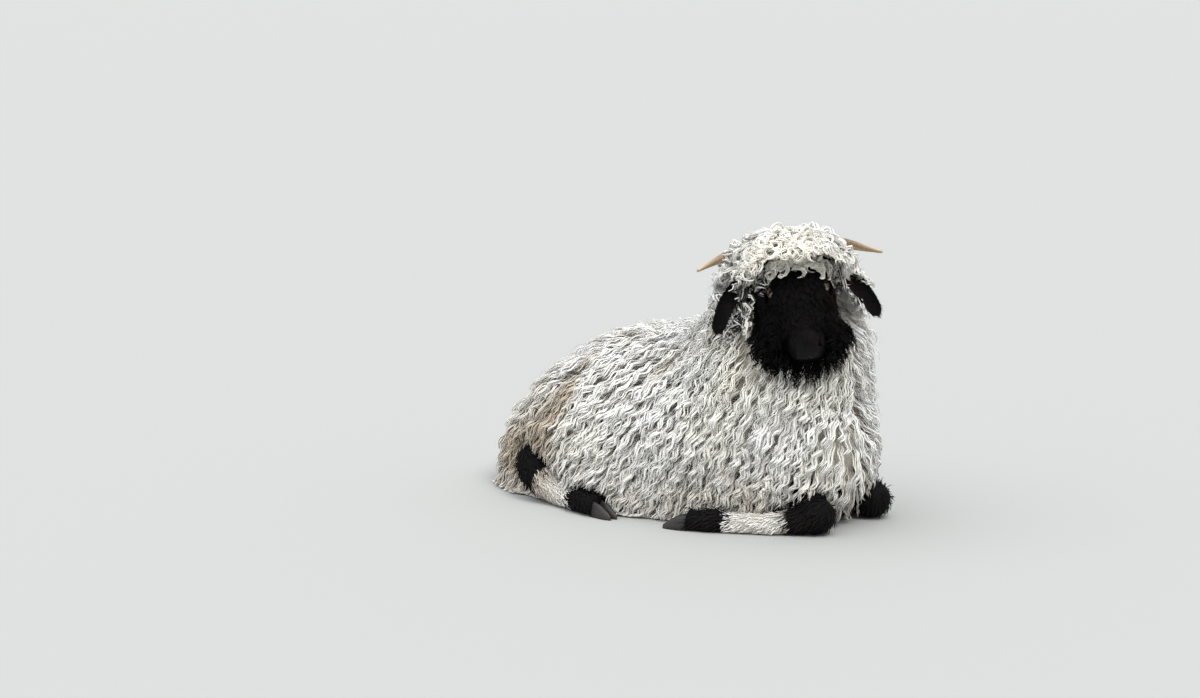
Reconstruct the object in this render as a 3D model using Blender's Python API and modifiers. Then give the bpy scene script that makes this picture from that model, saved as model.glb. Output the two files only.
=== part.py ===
# Valais blacknose sheep, a grown ewe lying on its brisket, life size, in metres.
# The body lies along X with the chest towards +X, the sheep's left is +Y, and the floor is Z = 0.
# The head is turned to the sheep's right. The origin is on the floor under the barrel.
import math

import bmesh
import bpy
import numpy as np
from mathutils import Matrix, Vector
from mathutils.bvhtree import BVHTree

GAP = 0.0003  # clear space between touching pieces
LOCKS = True  # False leaves the coat as smooth forms out to its tips
SEED = 49

# Where the head is and which way it looks.
POLL = (0.350, -0.085, 0.630)
HEAD_YAW = math.radians(-50)  # turned towards the sheep's right
HEAD_PITCH = math.radians(44)  # how far the face slopes down
HEAD_ROLL = math.radians(7)  # the left side is carried higher

# Coat depth from the skin to the tips of the locks.
TORSO_COAT = 0.070
NECK_COAT = 0.092
CROWN_TOP_COAT = 0.056
CROWN_SIDE_COAT = 0.090
CORE_SHARE = 0.5  # the core of the coat ends this far out
PLAIN_SHARE = 0.95  # the smooth form without locks ends this far out

# Flesh as round cones: (start, end, start radius, end radius).
CHEST = (0.32, 0.00, 0.175)
SHOULDER = (0.20, 0.00, 0.210)
BARREL = (0.00, 0.00, 0.165)
LOIN = (-0.13, 0.00, 0.163)
RUMP = (-0.325, 0.00, 0.048)
NECK_BASE = (0.265, -0.015, 0.275)
NECK_TOP = (0.315, -0.065, 0.540)
HIP = (-0.238, 0.060, 0.160)
STIFLE = (-0.10, 0.125, 0.110)
FLESH_BLEND = 0.05
SKIRT_TOP, SKIRT = 0.140, 0.55  # below this height the coat hangs to the floor, by this share


def mirrored(point, side):
    return (point[0], side * point[1], point[2])


def unit(vector):
    return vector / max(float(np.linalg.norm(vector)), 1e-12)


def side_name(side):
    return "_right" if side < 0 else "_left"


# Frame of the head.
def head_axes():
    """Unit vectors of the head: level forward, left, up, down the face, and out of the brow."""
    forward = np.array([math.cos(HEAD_YAW), math.sin(HEAD_YAW), 0.0])
    level_left = np.array([-math.sin(HEAD_YAW), math.cos(HEAD_YAW), 0.0])
    upright = np.array([0.0, 0.0, 1.0])
    left = math.cos(HEAD_ROLL) * level_left + math.sin(HEAD_ROLL) * upright
    up = math.cos(HEAD_ROLL) * upright - math.sin(HEAD_ROLL) * level_left
    nose = math.cos(HEAD_PITCH) * forward - math.sin(HEAD_PITCH) * up
    brow = math.sin(HEAD_PITCH) * forward + math.cos(HEAD_PITCH) * up
    return forward, left, up, nose, brow


FORWARD, LEFT, UP, NOSE, BROW = head_axes()


def on_face(along, out, left=0.0):
    """World point from a place on the head: along the face from the poll, out of the brow, and left."""
    return np.array(POLL) + along * NOSE + out * BROW + left * LEFT


def by_poll(left, forward, up):
    """World point from a place beside the poll, in the head's upright frame."""
    return np.array(POLL) + left * LEFT + forward * FORWARD + up * UP


CROWN_CENTRE = by_poll(0.0, -0.02, -0.080)
FLESH = [
    (CHEST, SHOULDER, 0.118, 0.160),
    (SHOULDER, BARREL, 0.160, 0.171),
    (BARREL, LOIN, 0.171, 0.160),
    (LOIN, RUMP, 0.160, 0.134),
    (NECK_BASE, NECK_TOP, 0.130, 0.076),
    (by_poll(0.0, -0.02, -0.065), by_poll(0.0, 0.03, -0.075), 0.076, 0.072),
]
FLESH += [(mirrored(HIP, side), mirrored(STIFLE, side), 0.092, 0.068) for side in (-1, 1)]


# Distance fields.
def round_cone_distance(points, start, end, start_radius, end_radius):
    a, b = np.array(start), np.array(end)
    along = b - a
    share = np.clip((points - a) @ along / (along @ along), 0.0, 1.0)
    nearest = a + share[:, None] * along
    return np.linalg.norm(points - nearest, axis=1) - (start_radius + share * (end_radius - start_radius))


def smooth_min(a, b, width):
    mix = np.clip(0.5 + 0.5 * (b - a) / width, 0.0, 1.0)
    return b + (a - b) * mix - width * mix * (1.0 - mix)


def smooth_share(values, low, high):
    share = np.clip((values - low) / (high - low), 0.0, 1.0)
    return share * share * (3.0 - 2.0 * share)


def outward(points, distance, step=0.002):
    """Unit direction in which the distance grows at each point."""
    slope = np.zeros_like(points)
    for axis in range(3):
        shift = np.zeros(3)
        shift[axis] = step
        slope[:, axis] = distance(points + shift) - distance(points - shift)
    return slope / np.maximum(np.linalg.norm(slope, axis=1), 1e-9)[:, None]


def along_surface(flow, normals):
    """The flow laid along the surface, or let hang where the surface faces down."""
    under = np.clip(-normals[:, 2:3] * 2.0, 0.0, 1.0)
    across = np.sum(flow * normals, axis=1)[:, None] * normals
    flow = flow - across * (1.0 - under)
    return flow / np.maximum(np.linalg.norm(flow, axis=1), 1e-9)[:, None]


class Fleece:
    """The white coat of the crown, neck and body over the flesh."""

    @staticmethod
    def distance(points):
        """Distance of each point from the skin, below zero inside. Low down the sides drop to the floor."""
        skirt = SKIRT * (1.0 - smooth_share(points[:, 0], 0.24, 0.40))
        low = np.maximum(SKIRT_TOP - points[:, 2], 0.0)
        points = points + np.stack([np.zeros_like(low), np.zeros_like(low), skirt * low], axis=1)
        found = round_cone_distance(points, *FLESH[0])
        for cone in FLESH[1:]:
            found = smooth_min(found, round_cone_distance(points, *cone), FLESH_BLEND)
        return found

    @staticmethod
    def crown(points):
        """1 on the crown, 0 on the neck and body."""
        height = (points - CROWN_CENTRE) @ UP
        near = np.linalg.norm(points - CROWN_CENTRE, axis=1)
        return smooth_share(height, -0.08, 0.02) * (1.0 - smooth_share(near, 0.20, 0.26))

    @staticmethod
    def neck(points):
        """1 on the neck, 0 on the body and crown."""
        height = (points - np.array(NECK_BASE)) @ unit(np.array(NECK_TOP) - np.array(NECK_BASE))
        return smooth_share(height, 0.02, 0.14) * (1.0 - Fleece.crown(points))

    @staticmethod
    def depth(points):
        crown, neck = Fleece.crown(points), Fleece.neck(points)
        on_top = smooth_share((points - CROWN_CENTRE) @ UP, 0.03, 0.13)
        crown_coat = CROWN_SIDE_COAT + (CROWN_TOP_COAT - CROWN_SIDE_COAT) * on_top
        return crown_coat * crown + NECK_COAT * neck + TORSO_COAT * (1.0 - crown - neck)

    @staticmethod
    def lie(points, normals):
        """Parted on the spine, hanging down and a little back, and out from the top of the crown."""
        crown = Fleece.crown(points)[:, None]
        side = np.tanh(points[:, 1:2] / 0.04)
        back = 0.25 + 0.60 * smooth_share(-points[:, 0:1], -0.28, 0.02)
        body = np.concatenate([-back, 0.45 * side, np.full_like(side, -1.0)], axis=1)
        away = points - CROWN_CENTRE
        away = away - (away @ UP)[:, None] * UP
        away = away / np.maximum(np.linalg.norm(away, axis=1), 1e-6)[:, None]
        curls = away + 0.35 * FORWARD - 0.55 * UP
        return along_surface(body * (1.0 - crown) + curls * crown, normals)


# Stations down the face: (along, half width, top, bottom, squareness, wool, wool on top, hang of the wool).
FACE_STATIONS = np.array(
    [
        (0.030, 0.070, 0.010, -0.142, 2.3, 0.005, 0.003, 0.000),
        (0.060, 0.071, 0.014, -0.146, 2.3, 0.008, 0.005, 0.000),
        (0.085, 0.072, 0.015, -0.140, 2.3, 0.013, 0.008, 0.004),
        (0.105, 0.068, 0.013, -0.128, 2.3, 0.024, 0.012, 0.012),
        (0.130, 0.056, 0.010, -0.112, 2.4, 0.042, 0.013, 0.025),
        (0.155, 0.048, 0.007, -0.099, 2.4, 0.058, 0.012, 0.040),
        (0.180, 0.044, 0.003, -0.090, 2.5, 0.062, 0.010, 0.046),
        (0.205, 0.043, -0.002, -0.084, 2.6, 0.042, 0.006, 0.036),
        (0.225, 0.042, -0.008, -0.081, 2.6, 0.014, 0.003, 0.014),
        (0.240, 0.037, -0.016, -0.077, 2.5, 0.004, 0.001, 0.002),
        (0.250, 0.028, -0.026, -0.069, 2.4, 0.001, 0.000, 0.000),
        (0.255, 0.015, -0.036, -0.058, 2.2, 0.000, 0.000, 0.000),
    ]
)
FACE_BACK = 0.045  # the black face ends on this plane behind the brow
FACE_SIDES = 14
FACE_ROOM = 0.006  # clear space left round the black wool
DOWN = np.array([0.0, 0.0, -1.0])


def station(along, column):
    return np.interp(along, FACE_STATIONS[:, 0], FACE_STATIONS[:, column])


class FaceWool:
    """The black wool of the cheeks and chin over the bare face."""

    @staticmethod
    def sections(points):
        away = points - np.array(POLL)
        return away @ NOSE, away @ BROW, away @ LEFT

    @staticmethod
    def distance(points):
        along, out, left = FaceWool.sections(points)
        half, top, bottom, power = [station(along, i) for i in (1, 2, 3, 4)]
        middle, rise = 0.5 * (top + bottom), 0.5 * (top - bottom)
        radial = (np.abs(left / half) ** power + np.abs((out - middle) / rise) ** power) ** (1.0 / power)
        return np.hypot(left, out - middle) * (1.0 - 1.0 / np.maximum(radial, 1e-6))

    @staticmethod
    def depth(points):
        along, out, _ = FaceWool.sections(points)
        wool, top_wool, hang = [station(along, i) for i in (5, 6, 7)]
        above = smooth_share(out, 0.5 * (station(along, 2) + station(along, 3)), station(along, 2))
        return np.maximum(wool + (top_wool - wool) * above + 0.6 * hang * (1.0 - above), 0.003)

    @staticmethod
    def lie(points, normals):
        """Down and out from the face, and a little towards the nose."""
        away = points - on_face(0.14, -0.05)
        away = away / np.maximum(np.linalg.norm(away, axis=1), 1e-6)[:, None]
        return along_surface(0.5 * away + 0.25 * NOSE + 0.9 * DOWN, normals)


# Making meshes.
def mesh_object(name, points, faces):
    mesh = bpy.data.meshes.new(name)
    mesh.from_pydata([tuple(map(float, p)) for p in points], [], faces)
    made = bpy.data.objects.new(name, mesh)
    bpy.context.scene.collection.objects.link(made)
    face_outwards(made)
    return made


def loft(name, rings, tip=None):
    """A closed body through rings of points, with flat ends, or a pointed far end at tip."""
    count = len(rings[0])
    points = [p for ring in rings for p in ring]
    faces = []
    for r in range(len(rings) - 1):
        low, high = r * count, (r + 1) * count
        for i in range(count):
            j = (i + 1) % count
            faces.append((low + i, low + j, high + j, high + i))
    faces.append(tuple(reversed(range(count))))
    last = (len(rings) - 1) * count
    if tip is None:
        faces.append(tuple(last + i for i in range(count)))
    else:
        points.append(tip)
        faces += [(last + i, last + (i + 1) % count, len(points) - 1) for i in range(count)]
    return mesh_object(name, points, faces)


def hull(name, points):
    """The smallest convex body round the points."""
    work = bmesh.new()
    for point in points:
        work.verts.new(tuple(map(float, point)))
    bmesh.ops.convex_hull(work, input=work.verts)
    bmesh.ops.delete(work, geom=[v for v in work.verts if not v.link_faces], context="VERTS")
    mesh = bpy.data.meshes.new(name)
    work.to_mesh(mesh)
    work.free()
    made = bpy.data.objects.new(name, mesh)
    bpy.context.scene.collection.objects.link(made)
    face_outwards(made)
    return made


def face_outwards(obj):
    work = bmesh.new()
    work.from_mesh(obj.data)
    bmesh.ops.recalc_face_normals(work, faces=work.faces)
    bmesh.ops.triangulate(work, faces=work.faces)
    work.to_mesh(obj.data)
    work.free()


def keep_largest(obj):
    """Drops loose scraps and sealed hollows, so that one closed surface is left."""
    work = bmesh.new()
    work.from_mesh(obj.data)
    bmesh.ops.triangulate(work, faces=work.faces)
    left = set(work.faces)
    pieces = []
    while left:
        piece = [left.pop()]
        for face in piece:
            for edge in face.edges:
                for other in edge.link_faces:
                    if other in left:
                        left.remove(other)
                        piece.append(other)
        volume = sum(f.verts[0].co.cross(f.verts[1].co).dot(f.verts[2].co) for f in piece) / 6.0
        pieces.append((volume, piece))
    pieces.sort(key=lambda found: found[0])
    for _, piece in pieces[:-1]:
        bmesh.ops.delete(work, geom=piece, context="FACES")
    loose = [v for v in work.verts if not v.link_faces]
    bmesh.ops.delete(work, geom=loose, context="VERTS")
    work.to_mesh(obj.data)
    work.free()
    if len(pieces) > 1:
        print(obj.name, "drops surfaces of cm3", [round(volume * 1e6, 2) for volume, _ in pieces[:-1]])


def boolean(obj, others, operation, solver="MANIFOLD"):
    """Joins, cuts or trims obj by all the others in one Boolean, applies it and removes the others."""
    group = bpy.data.collections.new(obj.name + "_pieces")
    bpy.context.scene.collection.children.link(group)
    for other in others:
        for home in list(other.users_collection):
            home.objects.unlink(other)
        group.objects.link(other)
    step = obj.modifiers.new("join", "BOOLEAN")
    step.operation = operation
    step.operand_type = "COLLECTION"
    step.collection = group
    step.solver = solver
    bpy.context.view_layer.update()
    joined = bpy.data.meshes.new_from_object(obj.evaluated_get(bpy.context.evaluated_depsgraph_get()))
    obj.modifiers.remove(step)
    obj.data = joined
    for other in others:
        bpy.data.objects.remove(other)
    bpy.data.collections.remove(group)
    return obj


def copy_of(obj, name):
    made = bpy.data.objects.new(name, obj.data.copy())
    bpy.context.scene.collection.objects.link(made)
    return made


def placed(name):
    """The primitive just added, under its name, with its place in its mesh."""
    made = bpy.context.object
    made.name = name
    bpy.ops.object.transform_apply(location=True, rotation=True, scale=True)
    return made


def ellipsoid(name, centre, radii, turn=(0.0, 0.0, 0.0), segments=16, rings=10):
    bpy.ops.mesh.primitive_uv_sphere_add(
        segments=segments, ring_count=rings, radius=1.0, location=tuple(centre), rotation=turn
    )
    bpy.context.object.scale = radii
    return placed(name)


def smooth_path(points, count):
    """Points evenly along a Catmull-Rom curve through the given ones."""
    points = [np.array(p, float) for p in points]
    points = [2 * points[0] - points[1]] + points + [2 * points[-1] - points[-2]]
    found = []
    for share in np.linspace(0.0, len(points) - 3, count):
        i = min(int(share), len(points) - 4)
        t = share - i
        a, b, c, d = points[i : i + 4]
        curve = 2 * b + (c - a) * t + (2 * a - 5 * b + 4 * c - d) * t**2 + (3 * b - a - 3 * c + d) * t**3
        found.append(0.5 * curve)
    return found


def tube_rings(points, radii, sides, on_floor=True):
    """Rings square to a path, kept above the floor if asked."""
    points = [np.array(p, float) for p in points]
    first = unit(points[1] - points[0])
    helper = np.array([0.0, 0.0, 1.0]) if abs(first[2]) < 0.9 else np.array([1.0, 0.0, 0.0])
    across = np.cross(helper, first)
    rings = []
    for i, (point, radius) in enumerate(zip(points, radii)):
        ahead = unit(points[min(i + 1, len(points) - 1)] - points[max(i - 1, 0)])
        across = unit(across - (across @ ahead) * ahead)  # turned as little as the bend allows
        over = np.cross(ahead, across)
        ring = []
        for k in range(sides):
            angle = 2.0 * math.pi * (k + 0.5) / sides
            spot = point + radius * (math.cos(angle) * across + math.sin(angle) * over)
            if on_floor:
                spot[2] = max(spot[2], 0.0)
            ring.append(spot)
        rings.append(ring)
    return rings


def limb(name, points, radii, sides, on_floor=True):
    return loft(name, tube_rings(points, radii, sides, on_floor))


# The fleece.
CORE_VOXEL = 0.095
LOWEST_TIP = 0.004
LOCK = {
    "stations": (0.0, 0.30, 0.62, 0.86, 1.0),
    "widths": (0.62, 1.0, 0.88, 0.52),
    "heights": (0.25, 0.70, 0.82, 0.88, 0.94),  # shares of the coat's depth
    "sides": 4,
}
CLUMP = {
    "stations": (0.0, 0.32, 0.70, 0.94, 1.0),
    "widths": (0.60, 1.0, 0.96, 0.56),
    "heights": (0.30, 0.80, 0.86, 0.74, 0.66),
    "sides": 5,
}
FORELOCK_CLUMPS = 6
KEEL = 0.012  # how far the underside of a lock reaches into the core all along


def level_surface(name, share, voxel):
    """The body at a share of the coat's depth out from the skin, flat where it rests on the floor."""
    rough = []
    for start, end, start_radius, end_radius in FLESH:
        for step in np.linspace(0.0, 1.0, 4):
            centre = np.array(start) + step * (np.array(end) - np.array(start))
            radius = start_radius + step * (end_radius - start_radius)
            radius += share * float(Fleece.depth(centre[None, :])[0])
            bpy.ops.mesh.primitive_ico_sphere_add(subdivisions=3, radius=radius, location=tuple(centre))
            rough.append(placed("rough"))
    body = boolean(rough[0], rough[1:], "UNION")
    body.name = name
    even = body.modifiers.new("even", "REMESH")
    even.mode = "VOXEL"
    even.voxel_size = voxel
    mesh = bpy.data.meshes.new_from_object(body.evaluated_get(bpy.context.evaluated_depsgraph_get()))
    body.modifiers.clear()
    body.data = mesh
    points = np.array([v.co for v in mesh.vertices])
    for _ in range(6):
        away = Fleece.distance(points) - share * Fleece.depth(points)
        points -= away[:, None] * outward(points, Fleece.distance)
    points[:, 2] = np.maximum(points[:, 2], 0.0)
    mesh.vertices.foreach_set("co", points.astype(np.float32).ravel())
    face_outwards(body)
    return body


def scattered(surface, spacing, keep, rng, tries=9000):
    """Points over a mesh where keep allows, spacing apart, each the farthest from the others."""
    surface.data.calc_loop_triangles()
    spots = np.array([v.co for v in surface.data.vertices])
    corners = spots[np.array([t.vertices for t in surface.data.loop_triangles])]
    areas = np.linalg.norm(np.cross(corners[:, 1] - corners[:, 0], corners[:, 2] - corners[:, 0]), axis=1)
    picks = rng.choice(len(corners), size=tries, p=areas / areas.sum())
    u, v = rng.random(tries), rng.random(tries)
    flip = u + v > 1.0
    u[flip], v[flip] = 1.0 - u[flip], 1.0 - v[flip]
    a, b, c = corners[picks, 0], corners[picks, 1], corners[picks, 2]
    found = a + u[:, None] * (b - a) + v[:, None] * (c - a)
    found = found[keep(found)]
    apart = spacing(found)
    chosen, away = [0], np.full(len(found), 9.0)
    while True:
        last = chosen[-1]
        reach = np.linalg.norm(found - found[last], axis=1) / (0.5 * (apart + apart[last]))
        away = np.minimum(away, reach)
        if away.max() < 1.0:
            return found[chosen]
        chosen.append(int(away.argmax()))


def lock_path(coat, form, root, length):
    """The centre line of a lock along the lie of its coat, with the coat's normals."""
    place = np.array([root])
    centres, normals = [], []
    done = 0.0
    for share, height in zip(form["stations"], form["heights"]):
        normal = outward(place, coat.distance)
        place = place + coat.lie(place, normal) * length * (share - done)
        done = share
        normal = outward(place, coat.distance)
        lift = height * coat.depth(place) - coat.distance(place)
        hangs = np.clip(-normal[:, 2] * 3.0, 0.0, 1.0)
        lift = np.where(lift < 0.0, lift * (1.0 - hangs), lift)
        place = place + lift[:, None] * normal
        centres.append(place[0].copy())
        normals.append(normal[0])
    return np.array(centres), normals


def lock(name, coat, form, path, width, thickness, sway=0.0):
    """One lock along its path, from a sunk root to a tapered tip, with its underside in the core."""
    centres, normals = path
    lowest = LOWEST_TIP + 0.05 * abs(width - thickness) * abs(math.sin(900.0 * centres[0][0]))
    stand = coat.distance(centres) - CORE_SHARE * coat.depth(centres) + KEEL
    rings = []
    for i, wide in enumerate(form["widths"]):
        ahead = centres[i + 1] - centres[max(i - 1, 0)]
        across = unit(np.cross(normals[i], ahead))
        over = unit(np.cross(ahead, across))
        centre = centres[i] + across * sway * width * math.sin(5.0 * form["stations"][i])
        ring = []
        for k in range(form["sides"]):
            angle = 2.0 * math.pi * k / form["sides"] + 0.5 * math.pi
            high = 0.5 * wide * math.sin(angle) * thickness
            if math.sin(angle) < -0.5:
                high = min(high, -max(stand[i], 0.0))
            spot = centre + across * 0.5 * wide * math.cos(angle) * width + over * high
            spot[2] = max(spot[2], lowest + 0.0015 * i)
            ring.append(spot)
        rings.append(ring)
    tip = centres[-1]
    tip[2] = max(tip[2], lowest)
    return hull(name, [spot for ring in rings for spot in ring] + [tip])


def distance_to_path(points, path):
    """Distance of each point from a line through the path's points."""
    found = np.full(len(points), 9.0)
    for a, b in zip(path[:-1], path[1:]):
        found = np.minimum(found, round_cone_distance(points, a, b, 0.0, 0.0))
    return found


def hit_on(tree, origin, direction):
    place, _, _, _ = tree.ray_cast(Vector(origin), Vector(direction))
    return np.array(place)


def tree_of(obj):
    return BVHTree.FromObject(obj, bpy.context.evaluated_depsgraph_get())


def crosses(tree, path):
    """Whether any point of a lock's path is inside a closed surface."""
    for point in path:
        place, normal, _, _ = tree.find_nearest(Vector(point))
        if (Vector(point) - place).dot(normal) < 0.0:
            return True
    return False


def forelock(core):
    """A fringe of clumps that hangs over the brow."""
    made = []
    for left in np.linspace(-0.078, 0.078, FORELOCK_CLUMPS):
        root = hit_on(core, on_face(0.030, 0.30, left), -BROW)
        path = lock_path(Fleece, CLUMP, root, 0.082 - 2.0 * left * left)
        made.append(lock("forelock", Fleece, CLUMP, path, 0.048, 0.034))
    return made


def fleece_locks(core, hollows, rng):
    """Rounded clumps on the crown and flat tapered locks below it, rooted clear of the hollows."""
    room = face_wool_form("room", 1.0, FACE_ROOM)
    face = tree_of(room)
    bpy.data.objects.remove(room)
    hollow_trees = [tree_of(hollow) for hollow in hollows]
    ears = [[by_poll(side * p[0], p[1], p[2]) for p in EAR_PATH] for side in (-1, 1)]

    def keep(points):
        clear = (points[:, 2] > 0.030) & (np.linalg.norm(points - on_face(0.16, -0.05), axis=1) > 0.115)
        for path in ears:
            clear &= distance_to_path(points + np.array([0.0, 0.0, -0.030]), path) > 0.040
        return clear

    def spacing(points):
        crown, neck = Fleece.crown(points), Fleece.neck(points)
        return 0.055 * crown + 0.077 * neck + 0.098 * (1.0 - crown - neck)

    made = []
    for i, root in enumerate(scattered(core, spacing, keep, rng)):
        if any(crosses(tree, [root]) for tree in hollow_trees):
            continue
        crown, neck = float(Fleece.crown(root[None, :])[0]), float(Fleece.neck(root[None, :])[0])
        vary = rng.uniform(0.88, 1.15)
        if crown > 0.5:
            path = lock_path(Fleece, CLUMP, root, 0.070 * vary)
            if not crosses(face, path[0]):
                made.append(lock(f"clump_{i}", Fleece, CLUMP, path, 0.062, 0.036))
        else:
            length = (0.130 * neck + 0.155 * (1.0 - neck)) * vary
            width = 0.086 * neck + 0.114 * (1.0 - neck)
            sway = rng.choice((-1, 1)) * 0.14
            path = lock_path(Fleece, LOCK, root, length)
            if not crosses(face, path[0]):
                made.append(lock(f"lock_{i}", Fleece, LOCK, path, width, 0.034, sway))
    print(len(made), "locks and clumps in the fleece")
    return made + forelock(tree_of(core))


# The face.
EYE_ALONG, EYE_OUT, EYE_SIDE, EYE_RADIUS = 0.088, -0.022, 0.058, 0.0135


def face_ring(along, grow=0.0, grow_top=0.0, hang=0.0, reach_up=0.0):
    """One cross-section of the face: an oval squared off by its power, in world points."""
    half, top, bottom, power = [station(along, i) for i in (1, 2, 3, 4)]
    middle, rise = 0.5 * (top + bottom), 0.5 * (top - bottom)
    ring = []
    for k in range(FACE_SIDES):
        angle = 2.0 * math.pi * k / FACE_SIDES
        x, y = math.cos(angle), math.sin(angle)
        reach = (abs(x) ** power + abs(y) ** power) ** (-1.0 / power)
        tall = rise + grow + (grow_top - grow) * max(y, 0.0) ** 1.5 + reach_up * (y > 0.01)
        spot = on_face(along, middle + tall * y * reach, (half + grow) * x * reach)
        ring.append(spot + DOWN * hang * (0.5 - 0.5 * y) ** 2)
    return ring


def face_wool_form(name, share, extra=0.0, back=FACE_BACK):
    """The black wool round the face at a share of its depth, flat at the back, drawn in at the nose."""
    rings = []
    for along in [back] + [a for a in FACE_STATIONS[:, 0] if a > back + 0.005]:
        wool, top_wool, hang = [share * float(station(along, i)) for i in (5, 6, 7)]
        ring = face_ring(along, wool + extra, top_wool + extra, hang)
        rings.append([spot + NOSE * extra * (along > 0.22) for spot in ring])
    return loft(name, rings)


def face_clearing(name):
    """The space of the black face and all in front of it, from which the white core is cut away."""
    rings, widest = [], 0.0
    for along in (FACE_BACK + 0.010, 0.085, 0.105, 0.130, 0.155, 0.180, 0.205, 0.230):
        wool, hang = float(station(along, 5)), float(station(along, 7))
        widest = max(widest, wool + float(station(along, 1)))
        grow = widest - float(station(along, 1)) + 0.004
        rings.append(face_ring(along, grow, grow, hang, reach_up=0.16))
    rings.append([spot + NOSE * 0.06 for spot in rings[-1]])
    return loft(name, rings)


def eye_place(side):
    return on_face(EYE_ALONG, EYE_OUT, side * EYE_SIDE)


def eye_facing(side):
    return unit(side * LEFT + 0.45 * BROW + 0.25 * NOSE)


def eye_ball(name, side, radius):
    return ellipsoid(name, eye_place(side), (radius,) * 3, segments=12, rings=7)


def lid_ring(name, side):
    """The two lids as one raised ring round the eye."""
    bpy.ops.mesh.primitive_torus_add(
        major_segments=11,
        minor_segments=5,
        major_radius=0.0128,
        minor_radius=0.0042,
        location=tuple(eye_place(side) + eye_facing(side) * 0.006),
        rotation=Vector(eye_facing(side)).to_track_quat("Z", "Y").to_euler(),
    )
    return placed(name)


def groove(name, points, radius):
    """A cutter for a groove: a thin tube through the points, narrower at its ends."""
    radii = [radius * 0.4] + [radius] * (len(points) - 2) + [radius * 0.4]
    return limb(name, points, radii, 4, on_floor=False)


def mouth_line(tree):
    """From one corner of the mouth round the front of the muzzle to the other."""
    corner, front, level = 0.165, 0.235, -0.060
    points = []
    for turn in np.linspace(-1.0, 1.0, 9):
        angle = 0.5 * math.pi * turn
        bow = max(math.cos(angle), 0.0)
        axis = on_face(min(corner + (front - corner) * bow**0.7, 0.225), level + 0.004 * bow)
        reach = unit(math.sin(angle) * LEFT + 1.2 * bow**1.5 * NOSE)
        points.append(hit_on(tree, axis + reach * 0.2, -reach))
    return groove("mouth", points, 0.0026)


def nostril(tree, side):
    """A comma-shaped slit: a wide inner end at the front and a tail that runs up and outwards."""
    spots = [(0.236, -0.040, 0.012), (0.238, -0.034, 0.019), (0.233, -0.026, 0.026), (0.226, -0.021, 0.030)]
    points = []
    for along, out, left in spots:
        aim = unit(NOSE + side * LEFT * (0.3 + 14.0 * left))
        points.append(hit_on(tree, on_face(along, out, side * left) + aim * 0.08, -aim) - aim * 0.001)
    return groove("nostril", points, 0.0042)


def face_clumps(wool, rng):
    """Rounded black clumps on the cheeks, jaw and chin, clear of the eyes and the end of the muzzle."""

    def keep(points):
        along, _, _ = FaceWool.sections(points)
        clear = (along > FACE_BACK + 0.008) & (along < 0.205) & (FaceWool.depth(points) > 0.020)
        for side in (-1, 1):
            clear &= np.linalg.norm(points - eye_place(side), axis=1) > 0.042
        return clear

    roots = scattered(wool, lambda points: np.full(len(points), 0.046), keep, rng)
    paths = [lock_path(FaceWool, CLUMP, root, 0.046) for root in roots]
    made = [lock(f"face_clump_{i}", FaceWool, CLUMP, path, 0.046, 0.024) for i, path in enumerate(paths)]
    print(len(made), "clumps on the face")
    return made


def black_face(rng):
    """Muzzle, cheeks and chin with the lids, nostrils and line of the mouth, in their black wool."""
    bare = loft("bare", [face_ring(along) for along in FACE_STATIONS[:, 0]])
    tree = tree_of(bare)
    wool = face_wool_form("wool", CORE_SHARE if LOCKS else PLAIN_SHARE)
    clumps = face_clumps(wool, rng) if LOCKS else []
    clearings = []
    for side in (-1, 1):
        centre = eye_place(side) + eye_facing(side) * 0.024
        clearings.append(ellipsoid("clearing", centre, (0.024,) * 3, segments=12, rings=8))
    wool = boolean(wool, clumps, "UNION") if clumps else wool
    wool = boolean(wool, clearings, "DIFFERENCE")
    face = boolean(bare, [wool] + [lid_ring("lid", side) for side in (-1, 1)], "UNION")
    face.name = "face"
    cuts = [mouth_line(tree)] + [nostril(tree, side) for side in (-1, 1)]
    cuts += [eye_ball("eye_room", side, EYE_RADIUS + 2 * GAP) for side in (-1, 1)]
    face = boolean(face, cuts, "DIFFERENCE")
    return boolean(face, [face_wool_form("limit", 1.0, FACE_ROOM - 3 * GAP)], "INTERSECT")


# The ears.
EAR_PATH = [
    (0.072, -0.012, -0.046),
    (0.104, 0.006, -0.050),
    (0.134, 0.026, -0.064),
    (0.160, 0.040, -0.092),
    (0.179, 0.048, -0.126),
    (0.192, 0.050, -0.156),
]
EAR_RADII = (0.015, 0.019, 0.029, 0.034, 0.032, 0.024)
EAR_HALF_ANGLES = (150, 128, 68, 50, 34, 10)
EAR_THICKNESS = 0.0036
EAR_ARC = 7


def ear_pocket(name, side):
    """The hollow in the wool beside the face in which the ear hangs."""
    axes = np.stack([LEFT, FORWARD, UP], axis=1)
    turn = Matrix(axes.tolist()).to_euler()
    return ellipsoid(name, by_poll(side * 0.128, 0.118, -0.122), (0.090, 0.085, 0.088), turn)


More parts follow.
